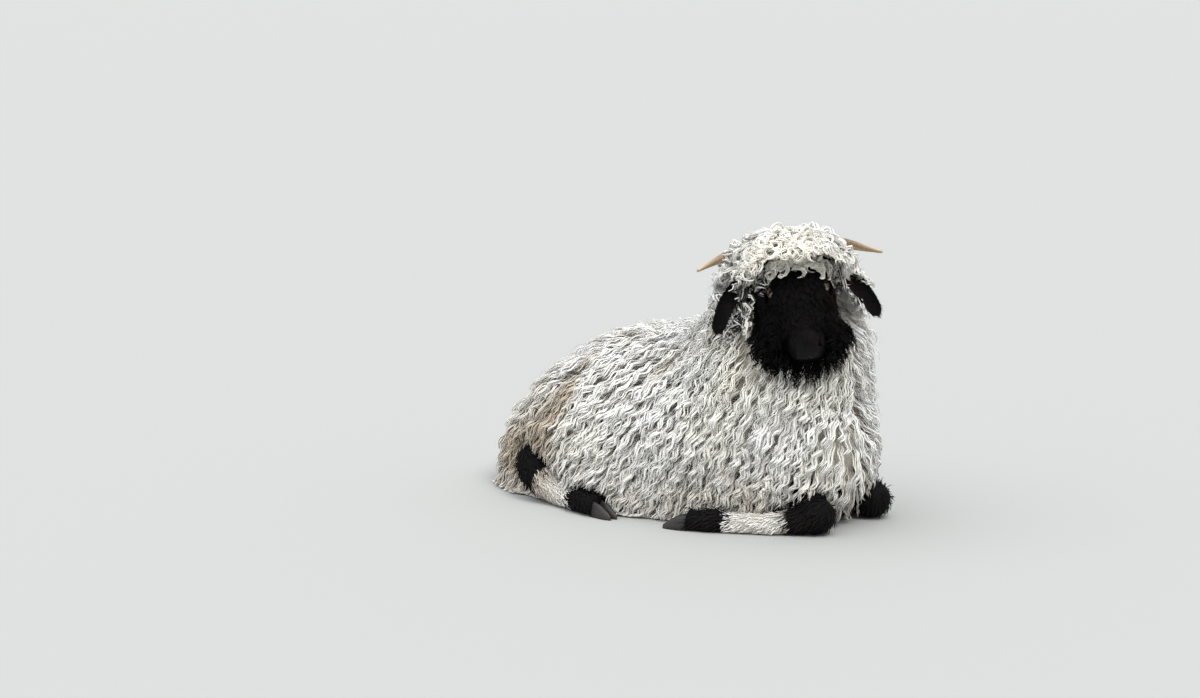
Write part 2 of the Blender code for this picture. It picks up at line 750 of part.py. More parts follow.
def ear(name, side, grow=0.0):
    """A leaf-shaped ear: a nearly closed funnel at its root that opens into a shallow cup."""
    path = [by_poll(side * p[0], p[1], p[2]) for p in EAR_PATH]
    rings = []
    for i, (place, radius, degrees) in enumerate(zip(path, EAR_RADII, EAR_HALF_ANGLES)):
        ahead = unit(path[min(i + 1, len(path) - 1)] - path[max(i - 1, 0)])
        opening = FORWARD - 0.35 * UP + side * 0.15 * LEFT
        opening = unit(opening - (opening @ ahead) * ahead)
        across = np.cross(ahead, opening)
        half = math.radians(degrees) + grow / radius
        thick = EAR_THICKNESS * (0.5 if i == len(path) - 1 else 1.0)
        centre = place + opening * radius * math.cos(math.radians(degrees)) * 0.5
        shift = ahead * grow * (-1.0 if i == 0 else float(i == len(path) - 1))
        outer, inner = [], []
        for k in range(EAR_ARC):
            share = 2.0 * k / (EAR_ARC - 1) - 1.0
            spoke = math.sin(half * share) * across - math.cos(half * share) * opening
            lean = 0.35 + 0.65 * math.cos(0.5 * math.pi * share)
            outer.append(centre + shift + spoke * (radius + grow))
            inner.append(centre + shift + spoke * (radius - thick * lean - grow))
        rings.append(outer + inner[::-1])
    return loft(name, rings)


# The horns.
HORN_PATH = [
    (0.038, -0.040, -0.014),
    (0.072, -0.060, 0.000),
    (0.110, -0.068, 0.004),
    (0.148, -0.062, -0.002),
    (0.183, -0.044, -0.010),
    (0.214, -0.022, -0.018),
]
HORN_ROOT_RADIUS, HORN_TIP_RADIUS = 0.021, 0.0022
HORN_RINGS, HORN_SIDES, HORN_TURN = 15, 7, 2.6


def horn(name, side, grow=0.0):
    """A ewe's slim horn: a keeled section that twists as it tapers, with growth rings."""
    path = smooth_path([by_poll(side * p[0], p[1], p[2]) for p in HORN_PATH], HORN_RINGS)
    rings = []
    for i, place in enumerate(path):
        share = i / (HORN_RINGS - 1)
        ahead = unit(path[min(i + 1, HORN_RINGS - 1)] - path[max(i - 1, 0)])
        across = unit(np.cross(UP, ahead))
        over = np.cross(ahead, across)
        radius = HORN_ROOT_RADIUS + (HORN_TIP_RADIUS - HORN_ROOT_RADIUS) * share**0.8
        radius *= 1.0 - 0.07 * (i % 2) * (1.0 - share)
        shift = ahead * grow * (-1.0 if i == 0 else float(i == HORN_RINGS - 1))
        ring = []
        for k in range(HORN_SIDES):
            angle = 2.0 * math.pi * k / HORN_SIDES
            turned = angle - side * HORN_TURN * share
            keel = 1.0 + 0.18 * math.cos(2.0 * turned) + 0.06 * math.cos(3.0 * angle)
            spoke = math.cos(angle) * across + math.sin(angle) * over
            ring.append(place + shift + spoke * (radius * keel + grow))
        rings.append(ring)
    return loft(name, rings)


# The legs: (station, radius) down to the foot, for the left side.
HIND_LEG = [
    ((-0.335, 0.170, 0.092), 0.034),
    ((-0.300, 0.196, 0.070), 0.040),
    ((-0.262, 0.210, 0.050), 0.036),
    ((-0.215, 0.222, 0.030), 0.027),
    ((-0.160, 0.236, 0.021), 0.023),
    ((-0.125, 0.246, 0.025), 0.028),
    ((-0.090, 0.256, 0.022), 0.025),
    ((-0.066, 0.262, 0.022), 0.026),
]
HIND_PARTS = [("hock", 0, 2, "black_wool"), ("cannon", 2, 4, "fleece"), ("foot", 4, 7, "black_wool")]
FORE_LEG = [
    ((0.440, 0.112, 0.042), 0.034),
    ((0.412, 0.132, 0.031), 0.033),
    ((0.385, 0.150, 0.025), 0.027),
    ((0.345, 0.178, 0.021), 0.023),
    ((0.272, 0.212, 0.020), 0.022),
    ((0.238, 0.228, 0.024), 0.027),
    ((0.208, 0.240, 0.021), 0.024),
    ((0.186, 0.247, 0.021), 0.025),
]
FORE_PARTS = [("knee", 0, 2, "black_wool"), ("cannon", 2, 4, "fleece"), ("foot", 4, 7, "black_wool")]
KNEE_CENTRE, KNEE_RADII = (0.442, 0.112, 0.044), (0.042, 0.040, 0.042)
FOREARM = [((0.330, 0.070, 0.120), 0.036), ((0.442, 0.112, 0.048), 0.037)]
HOCK_ARCH_CENTRE, HOCK_ARCH_RADII = (-0.285, 0.262, 0.040), (0.062, 0.080, 0.068)
LIMB_SIDES = 9
HOOF_LENGTH, HOOF_WIDTH, HOOF_HEIGHT = 0.058, 0.021, 0.036


def claw(name, start, ahead, turned, grow=0.0):
    """One claw of a cloven foot: a tapered toe with a flat sole on the floor."""
    across = np.cross(np.array([0.0, 0.0, 1.0]), ahead)
    rings = []
    for share, wide, tall in ((0.0, 0.92, 1.0), (0.4, 1.0, 0.86), (0.8, 0.70, 0.50), (1.0, 0.24, 0.24)):
        beside = turned * (0.5 * HOOF_WIDTH + 0.0012) * (1.0 - 0.25 * share)
        centre = start + ahead * (share * HOOF_LENGTH + grow * (5.0 * share - 4.0)) + across * beside
        ring = []
        for x, z in ((-1.0, 0.0), (-0.92, 0.6), (0.0, 1.0), (0.92, 0.6), (1.0, 0.0)):
            spot = centre + across * (0.5 * HOOF_WIDTH * wide + grow) * x
            spot[2] = (HOOF_HEIGHT * tall + grow) * z
            ring.append(spot)
        rings.append(ring)
    return loft(name, rings)


def hock_arch(name, side):
    """The arch in the fleece of the rump in which the hock shows."""
    return ellipsoid(name, mirrored(HOCK_ARCH_CENTRE, side), HOCK_ARCH_RADII, segments=14, rings=10)


def knee(name, side, rings, grow=0.0):
    """The bent knee: the end of the forearm, the kneecap and the top of the cannon in one."""
    stub = [np.array(mirrored(place, side)) for place, _ in FOREARM]
    stub[0] = stub[0] + unit(stub[0] - stub[1]) * grow
    radii = tuple(r + grow for r in KNEE_RADII)
    cap = ellipsoid(name, mirrored(KNEE_CENTRE, side), radii, segments=9, rings=6)
    low = 0.0 if grow == 0.0 else -1.0
    for vertex in cap.data.vertices:
        vertex.co.z = max(vertex.co.z, low)
    arm = limb("forearm", stub, [r + grow for _, r in FOREARM], LIMB_SIDES, on_floor=False)
    return boolean(cap, [arm, loft("below", rings)], "UNION")


def leg(prefix, side, stations, parts):
    """The nodes of one leg with their slots, and the shapes that clear the fleece round them."""
    places = [np.array(mirrored(place, side)) for place, _ in stations]
    radii = [radius for _, radius in stations]
    rings = tube_rings(places, radii, LIMB_SIDES)
    nodes = []
    for part_name, first, last, slot in parts:
        piece = rings[first : last + 1]
        if last < len(places) - 1:
            piece[-1] = [spot + unit(places[last - 1] - places[last]) * 2 * GAP for spot in piece[-1]]
        name = prefix + "_" + part_name + side_name(side)
        node = knee(name, side, piece) if part_name == "knee" else loft(name, piece)
        nodes.append((node, slot))
    room = [places[0] + unit(places[0] - places[1]) * 2 * GAP] + places[1:]
    room_radii = [r + 2 * GAP for r in radii]
    rooms = [limb("leg_room", room, room_radii, LIMB_SIDES, on_floor=False)]
    if prefix == "fore":
        room_rings = tube_rings(room[:3], [r + GAP for r in room_radii[:3]], LIMB_SIDES, on_floor=False)
        rooms.append(knee("knee_room", side, room_rings, grow=2 * GAP))
    ahead = places[-1] - places[-2]
    ahead = unit(np.array([ahead[0], ahead[1], 0.0]))
    toe = places[-1] + ahead * 6 * GAP
    for turned, word in ((side, "outer"), (-side, "inner")):
        turned = turned * math.copysign(1.0, ahead[0])
        nodes.append((claw(f"{prefix}_claw_{word}{side_name(side)}", toe, ahead, turned), "hoof"))
        rooms.append(claw("claw_room", toe, ahead, turned, grow=5 * GAP))
    return nodes, rooms


# The tail.
TAIL_PATH = [(-0.415, 0.010, 0.182), (-0.462, 0.020, 0.147), (-0.500, 0.030, 0.098), (-0.525, 0.040, 0.050)]
TAIL_RADII = (0.048, 0.050, 0.047, 0.044, 0.039, 0.031, 0.016)
TAIL_CORE, TAIL_COAT = 0.74, 0.55  # how far out the core ends, and the wool's share of the radius
TAIL_LOCK_SPACING = 0.051


class TailWool:
    """The wool of the tail round the line that it hangs along."""

    path = smooth_path(TAIL_PATH, len(TAIL_RADII))

    @staticmethod
    def depth(points):
        heights = [-TAIL_PATH[0][2], -TAIL_PATH[-1][2]]
        return TAIL_COAT * np.interp(-points[:, 2], heights, [TAIL_RADII[1], TAIL_RADII[-2]])

    @staticmethod
    def distance(points):
        bare = (1.0 / TAIL_COAT - 1.0) * TailWool.depth(points)
        return distance_to_path(points, TailWool.path) - bare

    @staticmethod
    def lie(points, normals):
        return along_surface(np.tile(np.array([-0.25, 0.05, -1.0]), (len(points), 1)), normals)


def woolly_tail(rng):
    """The tail with its hanging locks, kept within its own room."""
    core = limb("tail", TailWool.path, [TAIL_CORE * r for r in TAIL_RADII], LIMB_SIDES)

    def keep(points):
        return (points[:, 2] > 0.060) & (points[:, 0] < TAIL_PATH[0][0] - 0.012)

    roots = scattered(core, lambda points: np.full(len(points), TAIL_LOCK_SPACING), keep, rng)
    locks = []
    for i, root in enumerate(roots):
        path = lock_path(TailWool, LOCK, root, 0.070)
        locks.append(lock(f"tail_lock_{i}", TailWool, LOCK, path, 0.044, 0.018))
    print(len(locks), "locks on the tail")
    tail = boolean(core, locks, "UNION")
    limit = limb("limit", TailWool.path, [r + GAP for r in TAIL_RADII], LIMB_SIDES)
    return boolean(tail, [limit], "INTERSECT")

# How the body is parted: planes by a point and the normal of the far side, and the haunch as an oval.
NECK_CUT = ((0.285, -0.015, 0.350), (0.55, -0.15, 0.82))
CROWN_CUT = (by_poll(0.0, 0.0, -0.112), 0.42 * FORWARD + 0.90 * UP)
HAUNCH_CENTRE = (-0.215, 0.235, 0.105)
HAUNCH_RADII = (0.205, 0.125, 0.165)
HAUNCH_TURN = math.radians(14)
CELL_SIZE = 1.6


def half_space(name, cut, gap=0.0):
    """A large box on the far side of a plane, set back from it by gap."""
    place, normal = np.array(cut[0]), unit(np.array(cut[1]))
    bpy.ops.mesh.primitive_cube_add(
        size=CELL_SIZE,
        location=tuple(place + normal * (0.5 * CELL_SIZE + gap)),
        rotation=Vector(normal).to_track_quat("Z", "Y").to_euler(),
    )
    return placed(name)


def haunch_cell(side, grow=0.0):
    radii = tuple(r + grow for r in HAUNCH_RADII)
    turn = (0.0, HAUNCH_TURN, 0.0)
    return ellipsoid("cell", mirrored(HAUNCH_CENTRE, side), radii, turn, segments=12, rings=7)


# Materials.
COLOURS = {
    "fleece": ((0.80, 0.75, 0.64), 0.95),
    "black_wool": ((0.018, 0.015, 0.014), 0.90),
    "horn": ((0.50, 0.34, 0.19), 0.55),
    "hoof": ((0.045, 0.038, 0.033), 0.50),
    "eye": ((0.050, 0.030, 0.018), 0.08),
}
CREASE = math.radians(65)


def material(slot):
    found = bpy.data.materials.get(slot)
    if found:
        return found
    colour, roughness = COLOURS[slot]
    made = bpy.data.materials.new(slot)
    made.use_nodes = True
    shader = made.node_tree.nodes["Principled BSDF"]
    shader.inputs["Base Color"].default_value = (*colour, 1.0)
    shader.inputs["Roughness"].default_value = roughness
    return made


def finish(obj, slot, collection):
    """Colours and shades a node, and files it in the sheep's collection."""
    obj.data.materials.clear()
    obj.data.materials.append(material(slot))
    obj.data.shade_smooth()
    obj.data.set_sharp_from_angle(angle=CREASE)
    for home in list(obj.users_collection):
        home.objects.unlink(obj)
    collection.objects.link(obj)


def parted(fleece):
    """The fleece cut into crown, neck, haunches and torso."""
    crown = boolean(copy_of(fleece, "crown"), [half_space("cell", CROWN_CUT, GAP)], "INTERSECT")
    neck = boolean(copy_of(fleece, "neck"), [half_space("cell", NECK_CUT, GAP)], "INTERSECT")
    neck = boolean(neck, [half_space("cell", CROWN_CUT)], "DIFFERENCE")
    haunches = []
    for side in (-1, 1):
        haunch = copy_of(fleece, "haunch" + side_name(side))
        haunches.append(boolean(haunch, [haunch_cell(side)], "INTERSECT"))
    cells = [half_space("cell", NECK_CUT)] + [haunch_cell(side, 2 * GAP) for side in (-1, 1)]
    torso = boolean(copy_of(fleece, "torso"), cells, "DIFFERENCE")
    bpy.data.objects.remove(fleece)
    return [crown, neck, torso] + haunches


def main():
    for old in list(bpy.data.objects):
        bpy.data.objects.remove(old)
    sheep = bpy.data.collections.new("valais_blacknose_sheep")
    bpy.context.scene.collection.children.link(sheep)
    rng = np.random.default_rng(SEED)

    fleece = level_surface("fleece", CORE_SHARE if LOCKS else PLAIN_SHARE, CORE_VOXEL)
    hollows = [face_clearing("clearing")]
    for side in (-1, 1):
        hollows.append(ear_pocket("pocket", side))
    locks = fleece_locks(fleece, hollows, rng) if LOCKS else []
    fleece = boolean(fleece, hollows, "DIFFERENCE")
    fleece = boolean(fleece, locks, "UNION") if LOCKS else fleece

    face = black_face(rng)
    nodes = [(face, "black_wool")]
    rooms = [face_wool_form("face_room", 1.0, FACE_ROOM, FACE_BACK - GAP)]
    for side in (-1, 1):
        rooms.append(hock_arch("arch", side))
        for prefix, stations, parts in (("hind", HIND_LEG, HIND_PARTS), ("fore", FORE_LEG, FORE_PARTS)):
            leg_nodes, leg_rooms = leg(prefix, side, stations, parts)
            nodes += leg_nodes
            rooms += leg_rooms
        nodes.append((ear("ear" + side_name(side), side), "black_wool"))
        nodes.append((horn("horn" + side_name(side), side), "horn"))
        nodes.append((eye_ball("eye" + side_name(side), side, EYE_RADIUS), "eye"))
        rooms += [ear("ear_room", side, grow=4 * GAP), horn("horn_room", side, grow=2 * GAP)]

    nodes.append((woolly_tail(rng), "fleece"))
    tail = list(TailWool.path)
    tail[0] = tail[0] + unit(tail[0] - tail[1]) * 2 * GAP
    rooms.append(limb("tail_room", tail, [r + 3 * GAP for r in TAIL_RADII], LIMB_SIDES, on_floor=False))

    fleece = boolean(fleece, rooms, "DIFFERENCE")
    nodes += [(piece, "fleece") for piece in parted(fleece)]

    total = 0
    for obj, slot in nodes:
        keep_largest(obj)
        finish(obj, slot, sheep)
        obj.data.calc_loop_triangles()
        total += len(obj.data.loop_triangles)
        print(obj.name, len(obj.data.loop_triangles), "triangles")
    print(total, "triangles in all")


main()
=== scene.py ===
import math

import bmesh
import bpy
import numpy as np
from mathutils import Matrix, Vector


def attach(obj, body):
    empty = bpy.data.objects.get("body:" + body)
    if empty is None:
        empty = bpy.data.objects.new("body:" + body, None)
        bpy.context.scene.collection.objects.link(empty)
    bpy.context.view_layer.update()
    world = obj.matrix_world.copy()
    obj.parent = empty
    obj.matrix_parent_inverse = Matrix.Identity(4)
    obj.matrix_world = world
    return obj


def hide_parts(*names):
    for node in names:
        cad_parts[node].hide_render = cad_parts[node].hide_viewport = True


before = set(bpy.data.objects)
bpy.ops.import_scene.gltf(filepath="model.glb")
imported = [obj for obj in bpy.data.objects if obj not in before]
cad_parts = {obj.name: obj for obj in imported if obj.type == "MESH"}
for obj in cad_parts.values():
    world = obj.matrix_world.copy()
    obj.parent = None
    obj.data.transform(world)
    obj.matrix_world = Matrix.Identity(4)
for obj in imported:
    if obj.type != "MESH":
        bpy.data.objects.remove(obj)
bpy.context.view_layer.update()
print("frame loaded")

bothSides = (-1, 1)   # the sheep's right and its left
fullTurn = 2.0 * math.pi

# Where the head is and which way it looks, as in the solids.
head = {"poll": (0.350, -0.085, 0.630), "yaw": -50.0, "pitch": 44.0, "roll": 7.0}

# The flesh by places and radii, the coat's depth from skin to tips, and the hang of the sides to the floor.
body = {
    # chest, shoulder, barrel, loin and rump
    "spine": [
        ((0.32, 0.0, 0.175), 0.118), ((0.20, 0.0, 0.210), 0.160), ((0.0, 0.0, 0.165), 0.171),
        ((-0.13, 0.0, 0.163), 0.160), ((-0.325, 0.0, 0.048), 0.134),
    ],
    "neck": [((0.265, -0.015, 0.275), 0.130), ((0.315, -0.065, 0.540), 0.076)],
    "skull": [((0.0, -0.02, -0.065), 0.076), ((0.0, 0.03, -0.075), 0.072)],   # left, forward, up of the poll
    "thigh": [((-0.238, 0.060, 0.160), 0.092), ((-0.10, 0.125, 0.110), 0.068)],
    "blend": 0.05,
    "skirtTop": 0.140,
    "skirt": 0.55,
    "skirtEnd": (0.24, 0.40),
    "crownCentre": (0.0, -0.02, -0.080),
    "crownRise": (-0.08, 0.02),
    "crownReach": (0.20, 0.26),
    "crownTop": (0.03, 0.13),
    "neckRise": (0.02, 0.14),
    "torsoCoat": 0.070,
    "neckCoat": 0.092,
    "crownTopCoat": 0.053,
    "crownSideCoat": 0.082,
    "crownParting": 0.070,
    "swirl": 1.1,
    "swells": [((0.462, 0.092, 0.390), 0.105, 0.022), ((0.220, -0.118, 0.630), 0.050, 0.010)],
    "pressed": 0.45,
    "pressedBy": (0.040, 0.085),
    "skinShare": 0.22,
    "skinVoxel": 0.014,
    "lowestWool": 0.0035,
}


def unit(vector):
    return vector / max(float(np.linalg.norm(vector)), 1e-12)


def units(vectors):
    return vectors / np.maximum(np.linalg.norm(vectors, axis=-1), 1e-9)[..., None]


# The part of a direction that is square to an axis.
def square(vector, axis):
    return unit(vector - (vector @ axis) * axis)


def mirrored(point, side):
    return (point[0], side * point[1], point[2])


def sideName(side):
    return "_right" if side < 0 else "_left"


# The head's level forward, left, up, down the face, and out of the brow.
def headAxes():
    yaw, pitch, roll = [math.radians(head[key]) for key in ("yaw", "pitch", "roll")]
    forward = np.array([math.cos(yaw), math.sin(yaw), 0.0])
    levelLeft = np.array([-math.sin(yaw), math.cos(yaw), 0.0])
    left = math.cos(roll) * levelLeft + math.sin(roll) * upright
    up = math.cos(roll) * upright - math.sin(roll) * levelLeft
    nose = math.cos(pitch) * forward - math.sin(pitch) * up
    brow = math.sin(pitch) * forward + math.cos(pitch) * up
    return forward, left, up, nose, brow


upright = np.array([0.0, 0.0, 1.0])
down = -upright
headForward, headLeft, headUp, headNose, headBrow = headAxes()
poll = np.array(head["poll"])


def onFace(along, out, left=0.0):
    return poll + along * headNose + out * headBrow + left * headLeft


def byPoll(left, forward, up):
    return poll + left * headLeft + forward * headForward + up * headUp


def cones(path):
    return [(a, b, wideA, wideB) for (a, wideA), (b, wideB) in zip(path[:-1], path[1:])]


crownCentre = byPoll(*body["crownCentre"])
neckBase, neckTop = [np.array(spot) for spot, _ in body["neck"]]
neckUp = unit(neckTop - neckBase)
flesh = cones(body["spine"]) + cones(body["neck"]) + cones([(byPoll(*p), wide) for p, wide in body["skull"]])
for side in bothSides:
    flesh += cones([(mirrored(p, side), wide) for p, wide in body["thigh"]])


# Distance fields over arrays of points.
def distanceTo(points, centre):
    return np.linalg.norm(points - centre, axis=1)


def roundCone(points, start, end, startRadius, endRadius):
    a, b = np.array(start), np.array(end)
    along = b - a
    share = np.clip((points - a) @ along / (along @ along), 0.0, 1.0)
    return distanceTo(points, a + share[:, None] * along) - (startRadius + share * (endRadius - startRadius))


def distanceToPath(points, path):
    found = np.full(len(points), 9.0)
    for a, b in zip(path[:-1], path[1:]):
        found = np.minimum(found, roundCone(points, a, b, 0.0, 0.0))
    return found


def unitShare(values):
    return np.clip(values, 0.0, 1.0)


def smoothShare(values, low, high):
    share = unitShare((values - low) / (high - low))
    return share * share * (3.0 - 2.0 * share)


# 1 at no distance, and falling away over a width.
def bell(distance, width, power=2):
    return np.exp(-((distance / width) ** power))


def outward(points, distance, step=0.002):
    slope = np.zeros_like(points)
    for axis in range(3):
        shift = np.zeros(3)
        shift[axis] = step
        slope[:, axis] = distance(points + shift) - distance(points - shift)
    return units(slope)


# The flow laid along the surface, or let hang where the surface faces down.
def alongSurface(flow, normals):
    under = unitShare(-normals[:, 2:3] * 2.0)
    across = np.sum(flow * normals, axis=1)[:, None] * normals
    return units(flow - across * (1.0 - under))


# Soft random hills over space, from a few waves, between about -1 and 1.
def drift(points, size, seed):
    rng = np.random.default_rng(seed)
    total = np.zeros(len(points))
    for _ in range(7):
        wave = rng.normal(size=3) / size
        total += np.sin(points @ wave + rng.uniform(0.0, 6.283))
    return total / 3.0


# The white fleece of crown, neck and body, with its creases and the stain over both thighs.
partings = {
    "paths": [
        [(0.227, -0.181, 0.451), (0.185, -0.196, 0.421), (0.115, -0.170, 0.387), (0.029, -0.188, 0.336)],
        [(-0.179, -0.137, 0.352), (-0.198, -0.177, 0.309), (-0.218, -0.208, 0.257), (-0.242, -0.223, 0.207)],
    ],
    "width": 0.017,
    "drop": 0.26,
}
stains = [
    ((-0.198, -0.177, 0.309), 0.024), ((-0.218, -0.208, 0.257), 0.034), ((-0.242, -0.223, 0.207), 0.046),
    ((-0.272, -0.223, 0.158), 0.060), ((-0.304, -0.213, 0.126), 0.074), ((-0.375, -0.182, 0.103), 0.060),
]


def partingShare(points):
    shares = [bell(distanceToPath(points, path), partings["width"]) for path in partings["paths"]]
    return np.max(shares, axis=0)


def stainShare(points):
    spots = [(np.array(mirrored(spot, side)), reach) for spot, reach in stains for side in bothSides]
    return np.max([bell(distanceTo(points, spot), reach) for spot, reach in spots], axis=0)


def fleeceDistance(points):
    skirt = body["skirt"] * (1.0 - smoothShare(points[:, 0], *body["skirtEnd"]))
    low = np.maximum(body["skirtTop"] - points[:, 2], 0.0)
    points = points + (skirt * low)[:, None] * upright
    found = roundCone(points, *flesh[0])
    for cone in flesh[1:]:
        other = roundCone(points, *cone)
        mix = unitShare(0.5 + 0.5 * (other - found) / body["blend"])
        found = other + (found - other) * mix - body["blend"] * mix * (1.0 - mix)
    return found


def crownShare(points):
    rise = smoothShare((points - crownCentre) @ headUp, *body["crownRise"])
    return rise * (1.0 - smoothShare(distanceTo(points, crownCentre), *body["crownReach"]))


def neckShare(points):
    return smoothShare((points - neckBase) @ neckUp, *body["neckRise"]) * (1.0 - crownShare(points))


def fleeceDepth(points):
    crown, neck = crownShare(points), neckShare(points)
    onTop = smoothShare((points - crownCentre) @ headUp, *body["crownTop"])
    crownCoat = body["crownSideCoat"] + (body["crownTopCoat"] - body["crownSideCoat"]) * onTop
    depth = crownCoat * crown + body["neckCoat"] * neck + body["torsoCoat"] * (1.0 - crown - neck)
    depth = depth * (1.0 - partings["drop"] * partingShare(points))
    for centre, reach, rise in body["swells"]:
        depth = depth + rise * bell(distanceTo(points, centre), reach)
    return depth * (1.0 - body["pressed"] * nearEars(points))


# The middle line of an ear or a horn. The left ones are carried a little lower and nearer to the cheek.
def headPath(part, side):
    near, lower = part["leftLower"] if side > 0 else (0.0, 0.0)
    places = zip(part["path"], part["lowerShares"])
    return [byPoll(side * (p[0] - near * share), p[1], p[2] - lower * share) for p, share in places]


# 1 where an ear lies on the wool and presses it down.
def nearEars(points):
    paths = headPath(ear, -1)[1:], headPath(ear, 1)[3:]
    away = np.min([distanceToPath(points, path) for path in paths], axis=0)
    return 1.0 - smoothShare(away, *body["pressedBy"])


# Parted on the spine, hanging down and a little back, and swirling out from the top of the crown.
def fleeceLie(points, normals):
    crown = crownShare(points)[:, None]
    side = np.tanh(points[:, 1:2] / 0.04)
    back = 0.25 + 0.28 * smoothShare(-points[:, 0:1], -0.28, 0.02)
    flow = np.concatenate([-back, 0.45 * side, np.full_like(side, -1.0)], axis=1)
    away = points - crownCentre
    away = away - (away @ headUp)[:, None] * headUp
    away = away / np.maximum(np.linalg.norm(away, axis=1), body["crownParting"])[:, None]
    curls = away + 0.35 * headForward - 0.55 * headUp
    flow = flow * (1.0 - crown) + curls * crown
    swirl = body["swirl"] * drift(points, 0.030, 12)[:, None] * crown
    return alongSurface(flow * np.cos(swirl) + np.cross(normals, flow) * np.sin(swirl), normals)


fleece = {"distance": fleeceDistance, "depth": fleeceDepth, "lie": fleeceLie}

# The face by stations: (along, half width, top, bottom, squareness, wool, wool on top, hang of the wool).
face = {
    "stations": np.array([
        (0.030, 0.070, 0.010, -0.142, 2.3, 0.018, 0.004, 0.000),
        (0.060, 0.071, 0.014, -0.146, 2.3, 0.026, 0.007, 0.000),
        (0.085, 0.072, 0.015, -0.140, 2.3, 0.028, 0.009, 0.004),
        (0.105, 0.068, 0.013, -0.128, 2.3, 0.030, 0.011, 0.014),
        (0.130, 0.056, 0.010, -0.112, 2.4, 0.037, 0.012, 0.030),
        (0.155, 0.048, 0.007, -0.099, 2.4, 0.043, 0.012, 0.044),
        (0.180, 0.044, 0.003, -0.090, 2.5, 0.045, 0.010, 0.050),
        (0.205, 0.043, -0.002, -0.084, 2.6, 0.043, 0.006, 0.050),
        (0.225, 0.042, -0.008, -0.081, 2.6, 0.034, 0.003, 0.046),
        (0.240, 0.037, -0.016, -0.077, 2.5, 0.013, 0.001, 0.024),
        (0.250, 0.028, -0.026, -0.069, 2.4, 0.001, 0.000, 0.000),
        (0.255, 0.015, -0.036, -0.058, 2.2, 0.000, 0.000, 0.000),
    ]),
    "back": 0.040,
    "tip": 0.2562,
    "softening": 0.006,
    "rings": 170,
    "sides": 190,
}


# Values of the face at places along it, with the corners between stations rounded.
def stations(along, columns):
    along = np.asarray(along, float)
    reach = face["softening"] * np.clip((0.262 - along) / 0.03, 0.15, 1.0)
    offsets = [(offset, math.exp(-offset * offset)) for offset in (-1.5, -0.75, 0.0, 0.75, 1.5)]
    table, weights = face["stations"], sum(weight for _, weight in offsets)
    values = lambda spots, column: np.interp(spots, table[:, 0], table[:, column])
    return [sum(w * values(along + offset * reach, i) for offset, w in offsets) / weights for i in columns]


def faceSections(points):
    away = points - poll
    return away @ headNose, away @ headBrow, away @ headLeft


def faceDistance(points):
    along, out, left = faceSections(points)
    half, top, bottom, power = stations(along, (1, 2, 3, 4))
    middle, rise = 0.5 * (top + bottom), 0.5 * (top - bottom)
    radial = (np.abs(left / half) ** power + np.abs((out - middle) / rise) ** power) ** (1.0 / power)
    return np.hypot(left, out - middle) * (1.0 - 1.0 / np.maximum(radial, 1e-6))


def faceDepth(points):
    along, out, left = faceSections(points)
    top, bottom, wool, topWool, hang = stations(along, (2, 3, 5, 6, 7))
    above = smoothShare(out, 0.5 * (top + bottom), top)
    below = 1.0 - smoothShare(out, bottom, 0.5 * (top + bottom))
    wool = wool * (1.0 - np.tanh(left / 0.03) * (0.45 - 0.25 * smoothShare(along, 0.10, 0.15)))
    return np.maximum(wool + (topWool - wool) * above + 0.9 * hang * below, 0.004)


# Down and out from the face, and a little towards the nose.
def faceLie(points, normals):
    away = units(points - onFace(0.14, -0.05))
    return alongSurface(0.5 * away + 0.25 * headNose + 0.9 * down, normals)


# The curls that hang over the brow: thick at the top and lying down the face.
def forelockDepth(points):
    return 0.046 - 0.026 * smoothShare(faceSections(points)[0], 0.035, 0.085)


def forelockLie(points, normals):
    side = (faceSections(points)[2] / 0.070)[:, None]
    return alongSurface(headNose + 0.35 * side * headLeft + 0.25 * down, normals)


faceWool = {"distance": faceDistance, "depth": faceDepth, "lie": faceLie}
forelock = {"distance": faceDistance, "depth": forelockDepth, "lie": forelockLie}
eye = {"along": 0.088, "out": -0.022, "side": 0.058, "radius": 0.0135}


# The middle of an eye, the way it looks, and level and upright across it.
def eyeFrame(side):
    facing = unit(side * headLeft + 0.45 * headBrow + 0.25 * headNose)
    level = square(headNose, facing)
    return onFace(eye["along"], eye["out"], side * eye["side"]), facing, level, np.cross(facing, level)


def clearOfEyes(points, reach):
    return np.all([distanceTo(points, eyeFrame(side)[0]) > reach for side in bothSides], axis=0)


# Paths are given left, forward and up of the poll.
ear = {
    "path": [
        (0.072, -0.012, -0.046), (0.104, 0.006, -0.050), (0.134, 0.026, -0.064),
        (0.160, 0.040, -0.092), (0.179, 0.048, -0.126), (0.192, 0.050, -0.156),
    ],
    "leftLower": (0.018, 0.005),
    "lowerShares": (0.0, 0.4, 0.8, 1.0, 1.0, 1.0),
    "radii": (0.013, 0.016, 0.020, 0.022, 0.021, 0.018),
    "halfAngles": (150, 128, 78, 60, 54, 48),
    "thickness": 0.0036,
    "rings": 26,
    "arc": 15,
}
horn = {
    "path": [
        (0.038, -0.040, -0.014), (0.072, -0.060, 0.000), (0.110, -0.068, 0.004),
        (0.148, -0.062, -0.002), (0.183, -0.044, -0.010), (0.214, -0.022, -0.018),
    ],
    "leftLower": (0.012, 0.010),
    "lowerShares": (0.0, 0.3, 0.6, 0.8, 1.0, 1.0),
    "rootRadius": 0.021,
    "tipRadius": 0.0040,
    "bareFrom": {-1: 4, 1: 3},
    "rings": 90,
    "sides": 28,
    "turn": 2.6,
    "growthRings": 17,
}
hockArch = {"centre": (-0.285, 0.262, 0.040), "radii": (0.062, 0.080, 0.068)}
